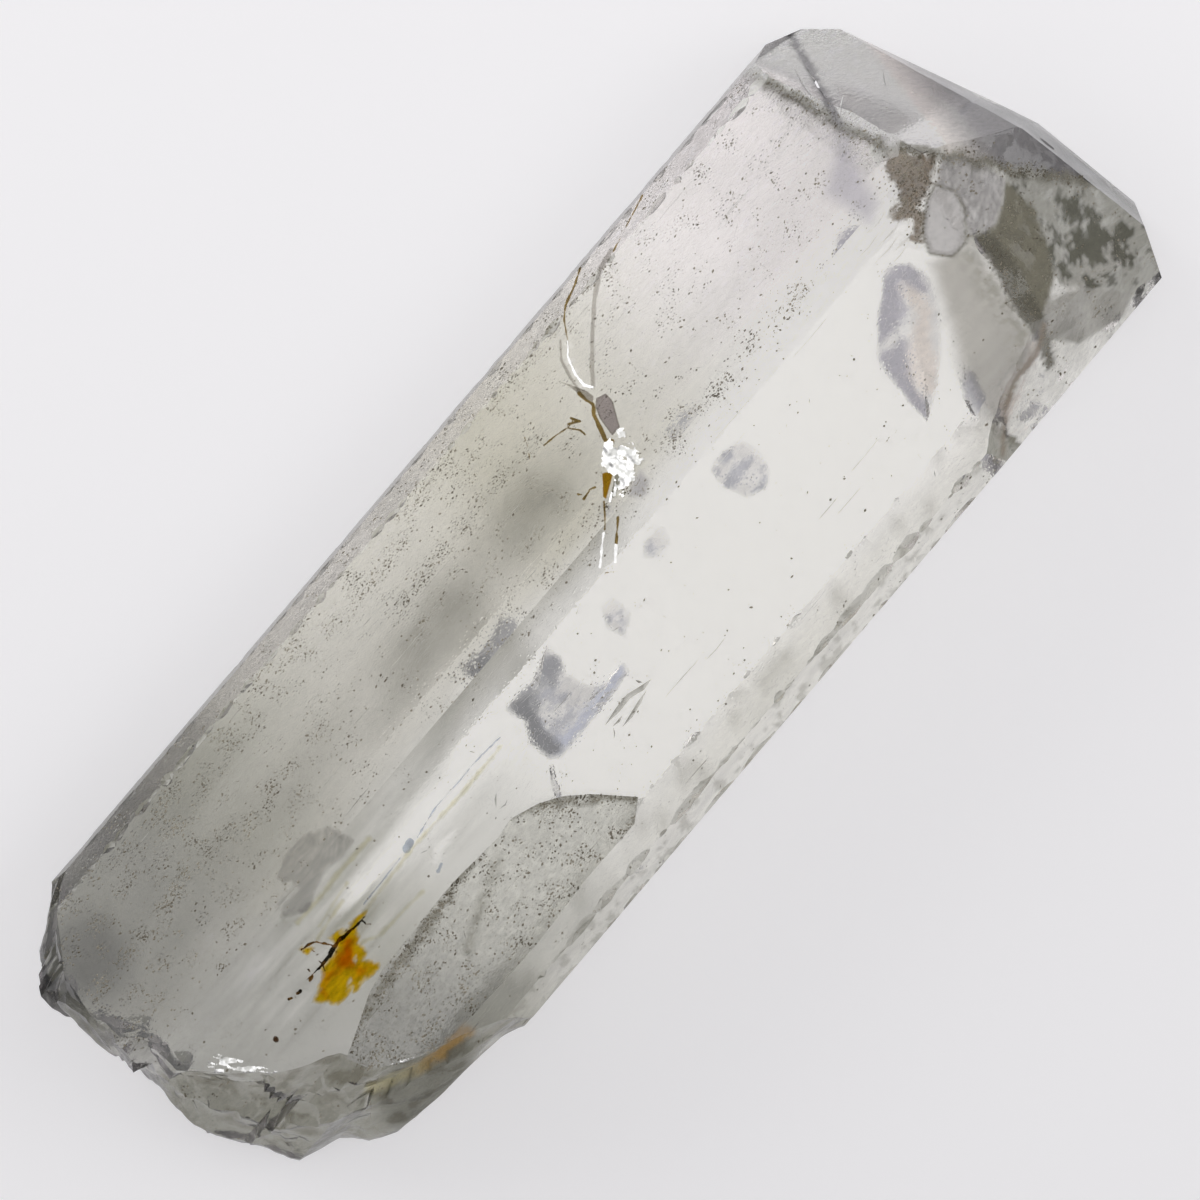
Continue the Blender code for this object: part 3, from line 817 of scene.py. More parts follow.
def skin_finish_light_and_shade(spot, kind, normal):
    """What the skin lets through at a place, in millimetres, with painted light and shade, and its
    dullness.
    """
    x, y, z = spot
    dull = DULLNESS[kind] * (0.7 + 0.7 * rough_noise(spot, 0.45))
    if kind == "pit":
        # painted shade: the hollows' walls and roofs are tinted blue-grey in blotches, more where x < 12
        # and darker where x < 0, and the listed bands of painted shade are laid over them
        blotches = eased(rough_noise(Vector((x * 0.6, y * 1.4, 6.0)), 1.5, 4), 0.44, 0.64)
        tint = PIT_GROUND.lerp(PIT_SHADE_BLUE, (0.95 if x < 12.0 else 0.15) * blotches)
        if x < 0.0:
            tint = tint * 0.9
        for outline, shade, soft in PAINTED_HOLLOW_SHADE:
            if near(x, y, outline, 0.4):
                depth = ragged(depth_in(x, y, outline), spot, 0.08, 2.6)
                speck = 0.9 + 0.2 * rough_noise(spot, 5.0, 2)
                tint = tint.lerp(shade * speck, eased(depth, -1.3 * soft, 0.8 * soft))
        return CLEAN.lerp(tint, eased(z, 0.0, 0.05)), dull
    if kind in ("underside", "base"):
        tint = CLEAN.copy()
        if kind == "underside":
            dull = max(dull, 0.85 * eased(x, 18.6, 19.3))
        for (at_x, at_y), (wide, high), dark in CLOUDS:
            away = ((x - at_x) / wide) ** 2 + ((y - at_y) / high) ** 2
            if kind == "underside" and away < 6.0:
                away += 0.9 * (rough_noise(spot, 0.6) - 0.5)
                tint = tint.lerp(WARM_SHADE_AND_DIRT * 0.4, dark * math.exp(-1.3 * max(0.0, away)))
        return tint, dull
    tint = CLEAN.lerp(ROSY, eased(y, 1.0, 3.0) * eased(x, 4.0, 16.0))
    tint = tint.lerp(Vector((0.965, 0.95, 0.885)), eased(y, 0.5, 2.5) * eased(x, 12.0, 2.0))
    # painted shade: the +Y side darkens to an olive grey toward the broken end; the skin also darkens at
    # the broken end (butt) and along the -Y edge (edge_dusk), in uneven patches
    shade_patches = 0.9 + 0.36 * (rough_noise(Vector((x * 0.5, y, z)), 0.3, 3) - 0.5)
    low = eased(x, -5.0, -9.0)
    side = eased(y, 0.5 - 0.85 * low, 2.2 - 1.9 * low)
    slope_shade = 0.47 * eased(x, 14.0, 2.0) - 0.19 * eased(x, 1.5, -2.0) * eased(x, -16.0, -8.0)
    slope_shade += 0.52 * eased(x, -4.0, -22.0) * (0.5 + 0.5 * eased(y, 1.0, 4.5))
    slope_shade *= side
    butt = 0.31 * eased(y, -0.8, -1.8) * eased(x, -5.0, -9.5)
    butt = max(butt, 0.74 * eased(y + 0.3 * (x + 14.0), 1.2, -1.4) * eased(x, -8.0, -15.5))
    butt = max(butt, 0.68 * eased(x, -14.0, -18.0))
    edge_dusk = 0.16 * eased(y, -5.6, -7.6) * eased(x, 2.0, -8.0)
    edge_dusk = max(edge_dusk, 0.1 * eased(y, -6.2, -7.4))
    share = shade_patches * max(slope_shade, butt, edge_dusk)
    # the white streak, the white wedge and the pale needles are where the painted shade is left off
    streak = 0.0
    if near(x, y, WHITE_STREAK, 0.4):
        torn = ragged(depth_in(x, y, WHITE_STREAK), Vector((x * 0.3, y * 2.6, z)), 0.16, 1.8)
        streak = eased(torn, -0.13, 0.1) * (1.0 - 0.7 * eased(x, -13.6, -16.0))
    if near(x, y, WHITE_WEDGE, 0.3):
        streak = max(streak, 0.8 * within(x, y, WHITE_WEDGE, -0.05, 0.12))
    for line in PALE_NEEDLES:
        if near(x, y, line, 0.2):
            streak = max(streak, beside(x, y, line, 0.09, 0.03))
    shade_colour = SHADE_GREY.lerp(WARM_SHADE_AND_DIRT, eased(x, -9.0, 3.0)).lerp(COLD_SHADE_GREY, eased(x, -14.0, -19.0))
    # the painted shade is streaked along the prism between x = -10 and x = -18
    fibres = ripple(x * 0.45, y * 3.4, 8.0) * eased(abs(y + 0.6), 2.8, 0.8)
    share *= 1.0 + 0.45 * fibres * eased(x, -6.0, -10.0) * eased(x, -22.0, -18.0)
    tint = tint.lerp(shade_colour, min(0.95, share * (1.0 - streak)))
    if kind == "plateau":
        grain = rough_noise(spot, 5.0, 3)
        shade = Vector((0.725, 0.725, 0.69)) * (1.0 - 0.44 * eased(x + 0.6 * y, -13.0, -20.0))
        tint = Vector([a * b * (0.84 + 0.28 * grain) for a, b in zip(CLEAN, shade)])
        rim = ragged(-gap_to(x, y, PLATEAU_RIM), spot, 0.26, 4.0)
        tint = tint.lerp(OLIVE, 0.85 * eased(rim, -0.26, -0.06))
        tint = tint.lerp(OLIVE, 0.6 * beside(x, y, PLATEAU_SEAM, 0.16, 0.03))
    elif kind in ("fracture", "chip", "groove"):
        worn = BROKEN if kind == "fracture" else BROKEN.lerp(tint, 0.62)
        soil = eased(rough_noise(spot, 1.1, 5), 0.54, 0.68) * (0.75 if kind == "fracture" else 0.5)
        tint = worn.lerp(OLIVE, soil)
        if x > 15.0:
            tint = tint.lerp(CLEAN, 0.85)
        tint = tint * (1.0 - 0.66 * eased(math.hypot(x + 23.0, y - 6.0), 2.9, 1.2))
        # painted light: the broken ground around (-24.2, 1.8) is lightened
        tint = tint.lerp(Vector((0.75, 0.75, 0.74)), 0.8 * eased(math.hypot(x + 24.2, y - 1.8), 1.5, 0.7))
    elif kind == "rim":
        worn = 0.96 + 0.16 * ripple(x * 0.5, y * 3.0, z * 3.0)
        tint = tint * min(1.0, worn)
        tint = tint.lerp(OLIVE, 0.35 * eased(rough_noise(spot, 1.6, 5), 0.6, 0.7))
    if x > 13.5 and z > 1.0:
        tint = termination_finish_and_shade(tint, spot)
    if near(x, y, SHARD, 0.2):
        tint = tint.lerp(DUSK, 0.7 * within(x, y, SHARD, -0.15, 0.15))
    if z > 5.0 and near(x, y, OCHRE_STREAK, 0.6):
        away = gap_to(x, y, OCHRE_STREAK) + 0.3 * (rough_noise(Vector((x * 0.7, y * 2.0, z)), 2.4) - 0.5)
        shade = OCHRE.lerp(Vector((0.6, 0.56, 0.36)), eased(x, -16.4, -18.4))
        tint = tint.lerp(shade, 0.9 * eased(away, 0.34, 0.06))
    if kind == "fracture":
        dull += 0.6 * eased(math.hypot((x + 17.6) / 2.6, (y + 6.9) / 1.3), 1.2, 0.7)
    # painted light: faces turned toward +Y, where a soft box stands, are lightened toward clear
    if normal.y > 0.75:
        dull += 0.12
        tint = tint.lerp(CLEAN, 0.45)
    if kind in ("clear", "etched") and x < -5.0:
        dull += 0.06 * eased(abs(y + 0.6), 2.6, 0.8) * (1.0 - streak)
        tint = tint * (1.0 - 0.36 * eased(math.hypot((x + 22.6) / 1.7, (y - 5.4) / 1.9), 1.3, 0.5))
    return tint, min(0.9, dull)


def soil(spot, kind):
    """How thickly dirt grains and etch dots sit on the skin at a place, from 0 to 1."""
    x, y, _ = spot
    clumps = eased(rough_noise(spot, 1.3, 4), 0.5, 0.7)
    thick = {"etched": 0.34, "clear": 0.12, "plateau": 0.62, "rim": 0.4, "cap": 0.14}.get(kind, 0.4)
    if kind in ("etched", "clear"):
        thick += 0.3 * eased(abs(y - 1.4), 1.1, 0.1) * eased(x, -9.0, 0.0) * eased(x, 16.0, 10.0)
    if kind == "etched":
        thick += 0.22 * eased(x, -10.0, -18.0)
    thick *= 0.35 + 1.1 * clumps
    if kind == "etched" and y > 7.0:
        thick += 0.5 * clumps
    for line in DUSTY_LINES:
        if near(x, y, line, 0.6):
            dust = beside(x, y, line, 0.45, 0.05)
            thick += 1.1 * dust * eased(rough_noise(spot, 1.1, 5), 0.44, 0.6)
    if kind == "plateau":
        thick += 0.9 * beside(x, y, PLATEAU_RIM, 0.35, 0.05)
    if x > CAP_START:
        thick += 0.8 * beside(x, y, CAP_LINE, 0.4, 0.05)
        thick += 0.7 * within(x, y, EARTH_PATCH, -0.3, 0.1)
        thick += 0.6 * within(x, y, FURRY_BAND, -0.1, 0.1)
    return min(1.0, thick)


finish_light_and_shade_layer = body.loops.layers.float_color.new("skin_finish_light_and_shade")
soil_layer = body.verts.layers.float.new("soil")
found = {}
for face in body.faces:
    kind = KINDS[face.material_index]
    for corner in face.loops:
        spot = corner.vert.co / MM
        key = (corner.vert.index, kind) if kind != "pit" else (corner.vert.index, face.index)
        if key not in found:
            tint, dull = skin_finish_light_and_shade(spot, kind, face.normal)
            found[key] = (tint.x ** 2, tint.y ** 2, tint.z ** 2, dull)
            if face.normal.z > FACES_UP:
                corner.vert[soil_layer] = soil(spot, kind) * min(1.0, 1.25 * face.normal.z ** 2)
        corner[finish_light_and_shade_layer] = found[key]
    face.material_index = 0
cut_mesh.clear_geometry()
cut_mesh.materials.clear()
body.to_mesh(cut_mesh)
body.free()
crystal.data = cut_mesh


# The crystal's own finish: clear glass whose tint and dullness follow its skin, with fine round
# etch dots that grow deeper where its soil is thick.
def calc(tree, operation, *values):
    return add(tree, "ShaderNodeMath", dict(enumerate(values)), operation=operation).outputs[0]


def in_mm(tree, scale=(1.0, 1.0, 1.0)):
    """Object coordinates in millimetres, stretched for a pattern."""
    place = add(tree, "ShaderNodeTexCoord").outputs["Object"]
    spread = [1.0 / MM * share for share in scale]
    return add(tree, "ShaderNodeMapping", {"Vector": place, "Scale": spread}).outputs["Vector"]


clear, tree, surface = new_material("pale_kunzite", {"IOR": 1.66, "Transmission Weight": 1.0})
# the skin's tint, painted light and shade included, becomes the base colour
finish = add(tree, "ShaderNodeAttribute", attribute_name="skin_finish_light_and_shade")
fibre = add(tree, "ShaderNodeTexNoise", {
    "Vector": in_mm(tree, (0.35, 1.0, 1.0)), "Scale": 5.5, "Detail": 3.0, "Roughness": 0.65}).outputs["Fac"]
fibre = calc(tree, "MULTIPLY", calc(tree, "SUBTRACT", fibre, 0.5), calc(
    tree, "MINIMUM", calc(tree, "SUBTRACT", finish.outputs["Alpha"], 0.03), 0.16))
fibre = calc(tree, "MULTIPLY_ADD", fibre, 7.0, 1.0)
striped = add(tree, "ShaderNodeVectorMath", {0: finish.outputs["Color"], "Scale": fibre}, operation="SCALE")
tree.links.new(striped.outputs["Vector"], surface.inputs["Base Color"])
tree.links.new(finish.outputs["Alpha"], surface.inputs["Roughness"])
dots = add(tree, "ShaderNodeTexVoronoi", {"Vector": in_mm(tree, (0.6, 1.0, 1.0)), "Scale": 8.0},
           voronoi_dimensions="2D")
dot_depth = add(tree, "ShaderNodeAttribute", attribute_name="soil").outputs["Fac"]
dot_depth = calc(tree, "MINIMUM", calc(tree, "MULTIPLY", dot_depth, 2.5), 1.0)
kept = calc(tree, "LESS_THAN", add(tree, "ShaderNodeSeparateColor", {
    "Color": dots.outputs["Color"]}).outputs["Red"], 0.6)
bowl = calc(tree, "MULTIPLY", calc(tree, "MINIMUM", dots.outputs["Distance"], 0.3), kept)
mealy = add(tree, "ShaderNodeTexNoise", {"Vector": in_mm(tree), "Scale": 7.0, "Detail": 1.0}).outputs["Fac"]
mealy = calc(tree, "MULTIPLY", mealy, calc(tree, "MULTIPLY", finish.outputs["Alpha"], 0.05))
relief = calc(tree, "MULTIPLY_ADD", calc(tree, "MULTIPLY", bowl, dot_depth), 0.035, mealy)
bump = add(tree, "ShaderNodeBump", {"Strength": 1.0, "Distance": MM, "Height": relief})
tree.links.new(bump.outputs["Normal"], surface.inputs["Normal"])
# a trace of lilac, which deepens along the prism
tint_inside = add(tree, "ShaderNodeVolumeAbsorption", {"Color": (0.9, 0.8, 0.92, 1.0), "Density": 12.0})
tree.links.new(tint_inside.outputs["Volume"], tree.nodes["Material Output"].inputs["Volume"])
crystal.data.materials.append(clear)

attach(crystal, "root")
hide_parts("kunzite_crystal")

# Old cleavage cracks hold hair-thin films of iron rust, of clay and of air. Each is made as a thin
# closed sheet, cut to its ragged outline. The deep ones are sealed in the crystal, and those on
# cracks that reach the skin lie a few hundredths of a millimetre over it.
FILM_THICKNESS = 0.012
DEEPEST_LEVEL = 3.0  # where a film has no skin above it


def film_material(name, values):
    """A finish whose colour is the film's own."""
    made, tree, shader = new_material(name, values)
    colour = add(tree, "ShaderNodeAttribute", attribute_name="film_finish")
    tree.links.new(colour.outputs["Color"], shader.inputs["Base Color"])
    return made


film_glass = film_material("sealed_film", {"IOR": 1.0, "Roughness": 0.0, "Transmission Weight": 1.0})


def film(name, box, grid, inside, level, colour, fade=0.05, finish=film_glass):
    """A thin sheet in the box (x, y, x, y) wherever inside() is above zero, at the height level().
    It fades out over the given width at its edge."""
    low_x, low_y, high_x, high_y = box
    made = bmesh.new()
    corners = {}

    def corner(n, m):
        if (n, m) not in corners:
            x, y = low_x + n * grid, low_y + m * grid
            corners[n, m] = made.verts.new(Vector((x, y, level(x, y))) * MM)
        return corners[n, m]

    for n in range(int((high_x - low_x) / grid)):
        for m in range(int((high_y - low_y) / grid)):
            if inside(low_x + (n + 0.5) * grid, low_y + (m + 0.5) * grid) > 0.0:
                made.faces.new([corner(n, m), corner(n + 1, m), corner(n + 1, m + 1), corner(n, m + 1)])
    # cells that touch only at a corner are parted, so that the sheet can be closed
    for vert in list(made.verts):
        if len(vert.link_faces) == 2 and len(vert.link_edges) == 4:
            bmesh.utils.vert_separate(vert, list(vert.link_edges)[:2])
    bmesh.ops.smooth_vert(made, verts=[v for v in made.verts if v.is_boundary], factor=0.5,
                          use_axis_x=True, use_axis_y=True, use_axis_z=True)
    bmesh.ops.solidify(made, geom=made.faces[:], thickness=FILM_THICKNESS * MM)
    bmesh.ops.recalc_face_normals(made, faces=made.faces)
    film_layer = made.verts.layers.float_color.new("film_finish")
    for vert in made.verts:
        x, y, _ = vert.co / MM
        strength = eased(inside(x, y), -0.01, fade) if fade else 1.0
        vert[film_layer] = (*Vector((1.0, 1.0, 1.0)).lerp(colour(x, y), strength), 1.0)
    sheet = to_object(name, made)
    sheet.data.materials.append(finish)
    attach(sheet, "root")


def over_skin(rise):
    """A height that follows the upper skin over it, or under it where the rise is negative."""
    def level(x, y):
        place, _ = skin(x, y)
        return place.z + rise if place is not None else DEEPEST_LEVEL
    return level


def mottled(colour, least, spread, scale, octaves, across=1.0):
    """A colour that varies over a film, across times as finely along Y as along X."""
    return lambda x, y: Vector(colour) * (
        least + spread * rough_noise(Vector((x, y * across, 0.0)), scale, octaves))


# The iron stain: yellow and orange rust that spread over the skin from a cleavage crack. It is a
# film on the skin with two orange cores, and two notches where the rust has worn off.
YELLOW = Vector((0.86, 0.6, 0.01))
ORANGE = Vector((0.8, 0.24, 0.0))
RUST_LEAF = ((-14.33, -1.22), (-14.85, -1.26), (-15.21, -1.53), (-15.47, -1.69), (-15.39, -2.02),
             (-15.53, -2.26), (-15.84, -2.31), (-15.6, -2.6), (-15.48, -2.85), (-15.68, -2.97),
             (-16.05, -2.88), (-16.36, -2.87), (-16.65, -2.9), (-16.91, -2.82), (-16.78, -2.66),
             (-17.11, -2.69), (-17.43, -2.77), (-17.77, -2.56), (-17.88, -2.25), (-18.27, -1.89),
             (-17.84, -1.83), (-17.56, -1.69), (-17.19, -1.55), (-17.03, -1.32), (-16.7, -1.36),
             (-16.05, -1.25), (-15.99, -0.84), (-15.68, -0.93), (-15.24, -1.1), (-14.62, -1.12))
RUST_NOTCHES = (((-16.55, -2.32), (-17.1, -2.4), (-17.02, -2.62), (-16.55, -2.62)),
                ((-15.75, -1.95), (-16.1, -1.98), (-16.2, -2.3), (-15.9, -2.24)))
RUST_CORES = (((-15.57, -1.23), (-15.4, -1.54), (-15.68, -1.68), (-15.82, -1.99), (-16.12, -2.1),
               (-16.46, -2.04), (-16.8, -1.88), (-17.23, -1.85), (-17.64, -1.95), (-17.57, -1.8),
               (-17.27, -1.69), (-16.8, -1.54), (-16.37, -1.57), (-15.99, -1.44)),
              ((-16.2, -2.47), (-15.79, -2.61), (-15.76, -2.78), (-16.21, -2.72), (-16.56, -2.75),
               (-16.51, -2.58)))
YELLOW_SPOT = ((-17.05, -0.28), (-16.77, -0.33), (-16.68, -0.62), (-16.98, -0.6))


def rust_inside(x, y):
    spot = Vector((x * 0.7, y * 1.3, 1.0))
    depth = ragged(max(depth_in(x, y, RUST_LEAF), depth_in(x, y, YELLOW_SPOT)), spot, 0.12, 3.0)
    for notch in RUST_NOTCHES:
        if near(x, y, notch, 0.3):
            depth = min(depth, 0.1 - ragged(depth_in(x, y, notch), spot, 0.1, 2.6))
    return depth + 0.09


def rust_colour(x, y):
    core = max(ragged(depth_in(x, y, outline), Vector((x, y, 4.0)), 0.25, 2.0) for outline in RUST_CORES)
    colour = YELLOW.lerp(ORANGE, eased(core, -0.25, 0.35))
    streaks = 0.7 + 0.6 * rough_noise(Vector((x * 0.9, y * 3.4, 0.0)), 2.0, 4)
    return colour * min(1.15, streaks)


film("iron_stain", (-18.6, -3.3, -14.0, 0.0), 0.045, rust_inside, over_skin(0.03), rust_colour, 0.2)

# The black manganese seam that the rust comes from, with its twigs. It is a film over the stain,
# drawn along a line that is thickest in the middle and turns rusty in places.
SEAM = ((-14.45, -1.32), (-14.88, -1.29), (-15.38, -1.22), (-15.88, -1.15), (-16.29, -1.2),
        (-16.73, -1.27), (-17.18, -1.26), (-17.79, -1.19))
SEAM_TWIGS = (  # points and half width
    (((-17.0, -0.31), (-16.68, -0.39), (-16.44, -0.53), (-16.24, -0.86), (-16.1, -1.14)), 0.045),
    (((-17.01, -0.42), (-16.75, -0.55), (-16.74, -0.74)), 0.03),
    (((-17.4, -1.0), (-17.48, -1.27), (-17.69, -1.3)), 0.035),
    (((-16.9, -1.07), (-16.91, -1.28), (-17.04, -1.49)), 0.03),
    (((-14.66, -1.3), (-14.71, -1.54), (-14.6, -1.65)), 0.03),
    (((-18.23, -1.26), (-18.34, -1.24)), 0.07),
    (((-18.62, -1.19), (-18.72, -1.15)), 0.06),
)


def seam_inside(x, y):
    thick = 0.03 + 0.065 * eased(x, -17.5, -16.4) * eased(x, -14.9, -15.9)
    depth = thick - gap_to(x, y, SEAM)
    for twig, width in SEAM_TWIGS:
        depth = max(depth, width - gap_to(x, y, twig))
    return depth + 0.1 * (rough_noise(Vector((x, y, 8.0)), 4.0, 4) - 0.5)


def seam_colour(x, y):
    rusty = eased(rough_noise(Vector((x, y, 2.0)), 2.2, 3), 0.45, 0.62) + 0.5 * eased(y, -1.0, -0.7)
    return Vector((0.04, 0.035, 0.025)).lerp(Vector((0.4, 0.2, 0.04)), min(0.8, 0.65 * rusty))


film("manganese_seam", (-19.0, -1.9, -13.2, 0.3), 0.03, seam_inside, over_skin(0.05), seam_colour, 0.015)

# The smoky veil: a swirl of clay film beside the white cleavage streak. It is sealed a few tenths
# of a millimetre deep, and its brushed tone follows the swirl.
VEIL_HEIGHT = 8.6
VEIL_SLOPE = 0.2
VEIL = ((-14.98, 2.4), (-14.23, 2.45), (-13.7, 2.35), (-13.18, 2.1), (-12.73, 1.74), (-12.56, 1.19),
        (-12.54, 0.7), (-13.13, 0.69), (-13.82, 0.8), (-14.52, 0.81), (-14.99, 0.65), (-15.3, 0.44),
        (-15.79, 0.42), (-16.32, 0.76), (-16.8, 1.15), (-16.44, 1.31), (-15.77, 1.33), (-15.4, 1.4),
        (-15.69, 1.6), (-15.63, 1.99))
VEIL_DARK = ((-16.15, 0.74), (-15.45, 0.62), (-15.55, 0.42), (-16.1, 0.45))


def veil_inside(x, y):
    return ragged(depth_in(x, y, VEIL), Vector((x * 0.6, y * 1.6, 0.0)), 0.14, 1.8)


def veil_colour(x, y):
    bend = y - 0.12 * (x + 14.5) ** 2 + 0.2 * ripple(x * 0.9, y, 4.0)
    brushed = 0.6 * ripple(x * 0.9, bend * 4.0, 2.0)
    brushed += 0.7 * ripple(x * 2.6, bend * 8.0, 5.0)
    shade = Vector((0.55, 0.54, 0.52)).lerp(Vector((0.82, 0.81, 0.79)), eased(brushed, -0.6, 0.7))
    shade = shade.lerp(Vector((0.6, 0.59, 0.57)), 0.7 * eased(x, -14.2, -15.4))
    dark = eased(ragged(depth_in(x, y, VEIL_DARK), Vector((x, y * 2.0, 0.0)), 0.16, 2.4), -0.12, 0.1)
    return shade.lerp(Vector((0.3, 0.29, 0.27)), dark)


film("smoky_veil", (-17.4, -0.5, -12.2, 2.6), 0.06, veil_inside,
     lambda x, y: VEIL_HEIGHT - VEIL_SLOPE * y, veil_colour, 0.16)

# Pale rust lines and a bluish hair crack run along the white cleavage streak, sealed a few tenths
# of a millimetre deep. A brown speck sits on the skin near the broken end.
RUST_LINES = (  # points and half width
    (((-16.32, 0.47), (-15.19, 0.43), (-13.96, 0.49), (-12.2, 0.46)), 0.17),
    (((-14.41, -1.19), (-13.39, -1.11), (-11.39, -1.0), (-8.66, -1.1), (-6.4, -1.05)), 0.12),
    (((-15.32, -1.87), (-14.65, -2.19), (-13.8, -2.26), (-12.4, -2.34)), 0.13),
    (((-14.6, -0.28), (-15.3, -0.36), (-16.3, -0.5)), 0.12),
    (((-14.0, 0.0), (-14.9, -0.08), (-15.9, -0.25)), 0.09),
)
HAIR_CRACKS = (
    (((-6.08, -0.81), (-6.78, -0.75), (-7.55, -0.69), (-8.24, -0.71), (-9.71, -0.67),
      (-10.97, -0.88)), 0.028),
    (((-12.0, -0.9), (-13.2, -0.95), (-14.2, -0.98)), 0.035),
    (((-11.56, -0.84), (-11.3, -0.8)), 0.17),
    (((-11.15, -2.22), (-11.45, -2.3)), 0.07),
)


RUST_LINE_HEIGHT = 8.8
HAIR_CRACK_HEIGHT = 8.9
SPECK = (-20.19, -1.78)
SPECK_RADIUS = 0.13


def lines_inside(lines, wear):
    """How far inside the nearest of several lines a place is, with uneven edges."""
    def inside(x, y):
        depths = [width - gap_to(x, y, line) for line, width in lines if near(x, y, line, 0.3)]
        if not depths:
            return -1.0
        return max(depths) + wear * (rough_noise(Vector((x, y, 3.0)), 2.4, 3) - 0.5)
    return inside


def speck_inside(x, y):
    wear = 0.08 * (rough_noise(Vector((x, y, 0.0)), 5.0) - 0.5)
    return SPECK_RADIUS - math.hypot(x - SPECK[0], y - SPECK[1]) + wear


film("rust_lines", (-16.5, -2.7, -6.2, 0.7), 0.06, lines_inside(RUST_LINES, 0.12),
     lambda x, y: RUST_LINE_HEIGHT, mottled((0.8, 0.77, 0.58), 0.8, 0.4, 1.5, 2, 4.0), 0.15)
film("hair_crack", (-14.4, -2.6, -5.9, -0.4), 0.035, lines_inside(HAIR_CRACKS, 0.07),
     lambda x, y: HAIR_CRACK_HEIGHT, mottled((0.46, 0.51, 0.6), 0.7, 0.6, 4.0, 3), 0.03)
film("brown_speck", (-20.5, -2.1, -19.9, -1.4), 0.04, speck_inside, over_skin(0.03),
     lambda x, y: Vector((0.16, 0.09, 0.05)))

# The two cracks that cross the frosted side and meet at a small burst: dark hair lines, a painted
# shadow under the skin as a grey sheet, mauve air lenses with brown rims, and a rusty spot.
BROWN_CRACKS = (  # points and half width
    (((9.33, 8.4), (8.72, 8.15), (7.86, 7.9), (7.43, 7.59), (6.91, 6.97)), 0.04),
    (((12.98, 8.4), (11.66, 8.1), (10.6, 7.85)), 0.03),
    (((5.67, 5.34), (5.64, 4.97), (5.69, 4.67), (5.4, 4.37), (5.15, 3.85), (4.95, 3.39),
      (5.09, 3.21)), 0.085),
    (((3.17, 1.97), (2.79, 1.6), (2.39, 1.26)), 0.035),
    (((3.05, 1.18), (2.68, 0.91), (2.2, 0.55)), 0.055),
    (((3.31, 5.07), (3.89, 4.97), (4.42, 4.82), (4.8, 4.85)), 0.035),
    (((4.39, 4.8), (4.63, 4.41), (4.63, 4.16)), 0.035),
    (((4.5, 4.9), (4.88, 4.63), (4.75, 4.95)), 0.06),
    (((2.73, 2.89), (2.83, 2.78)), 0.03),
    (((2.74, 2.6), (3.17, 2.67), (3.35, 2.58)), 0.06),
    (((3.07, 5.82), (2.86, 5.49), (2.56, 5.13)), 0.02),
    (((1.15, 0.2), (1.45, -0.09)), 0.02),
)
CRACK_SHADOWS = (
    (((10.6, 7.85), (9.75, 7.7), (8.79, 7.16), (7.59, 6.24), (6.72, 5.51), (6.23, 5.03)), 0.105),
    (((6.75, 7.1), (6.2, 6.6), (5.9, 5.9), (5.75, 5.35)), 0.07),
)
MAUVE_LENS = ((5.94, 4.73), (6.33, 4.57), (6.27, 4.17), (5.69, 3.33), (5.24, 3.34), (5.43, 4.1),
              (5.66, 4.54))
DARK_LENS = ((5.48, 6.32), (5.68, 5.9), (5.92, 5.21), (5.95, 4.84), (5.72, 4.69), (5.64, 4.97),
             (5.63, 5.26), (5.62, 5.75))
RUSTY_SPOT = ((3.93, 2.72), (4.31, 2.45), (3.78, 2.19), (3.28, 1.96), (3.26, 2.1))
GREY_LENS = ((4.39, 2.41), (4.56, 2.26), (4.02, 1.9), (3.5, 1.76), (3.43, 1.9))

# painted shadow: a grey sheet 0.35 mm under the skin along the cracks
film("crack_shadow_sheet", (5.2, 4.7, 13.2, 8.6), 0.04, lines_inside(CRACK_SHADOWS, 0.05), over_skin(-0.35),
     mottled((0.54, 0.52, 0.49), 0.85, 0.3, 1.2, 2), 0.05)
film("brown_cracks", (0.9, -0.4, 13.2, 8.6), 0.032, lines_inside(BROWN_CRACKS, 0.07), over_skin(0.03),
     mottled((0.34, 0.25, 0.1), 0.6, 0.8, 1.6, 3), 0.02)


def burst_inside(x, y):
    return max(depth_in(x, y, lens) for lens in (MAUVE_LENS, DARK_LENS, GREY_LENS, RUSTY_SPOT))


def burst_colour(x, y):
    if depth_in(x, y, RUSTY_SPOT) > -0.02:
        return Vector((0.46, 0.27, 0.02))
    if depth_in(x, y, DARK_LENS) > -0.02:
        pale = eased(x, 5.95, 5.55) * eased(y, 5.2, 6.2)
        return Vector((0.5, 0.48, 0.46)).lerp(Vector((0.78, 0.78, 0.76)), pale)
    if depth_in(x, y, MAUVE_LENS) > -0.02:
        rim = within(x, y, MAUVE_LENS, 0.1, 0.0)
        return Vector((0.5, 0.46, 0.48)).lerp(Vector((0.36, 0.34, 0.33)), rim)
    return Vector((0.46, 0.46, 0.43))


film("air_lenses", (3.1, 1.6, 6.5, 6.5), 0.04, burst_inside, over_skin(0.03), burst_colour, 0.02)

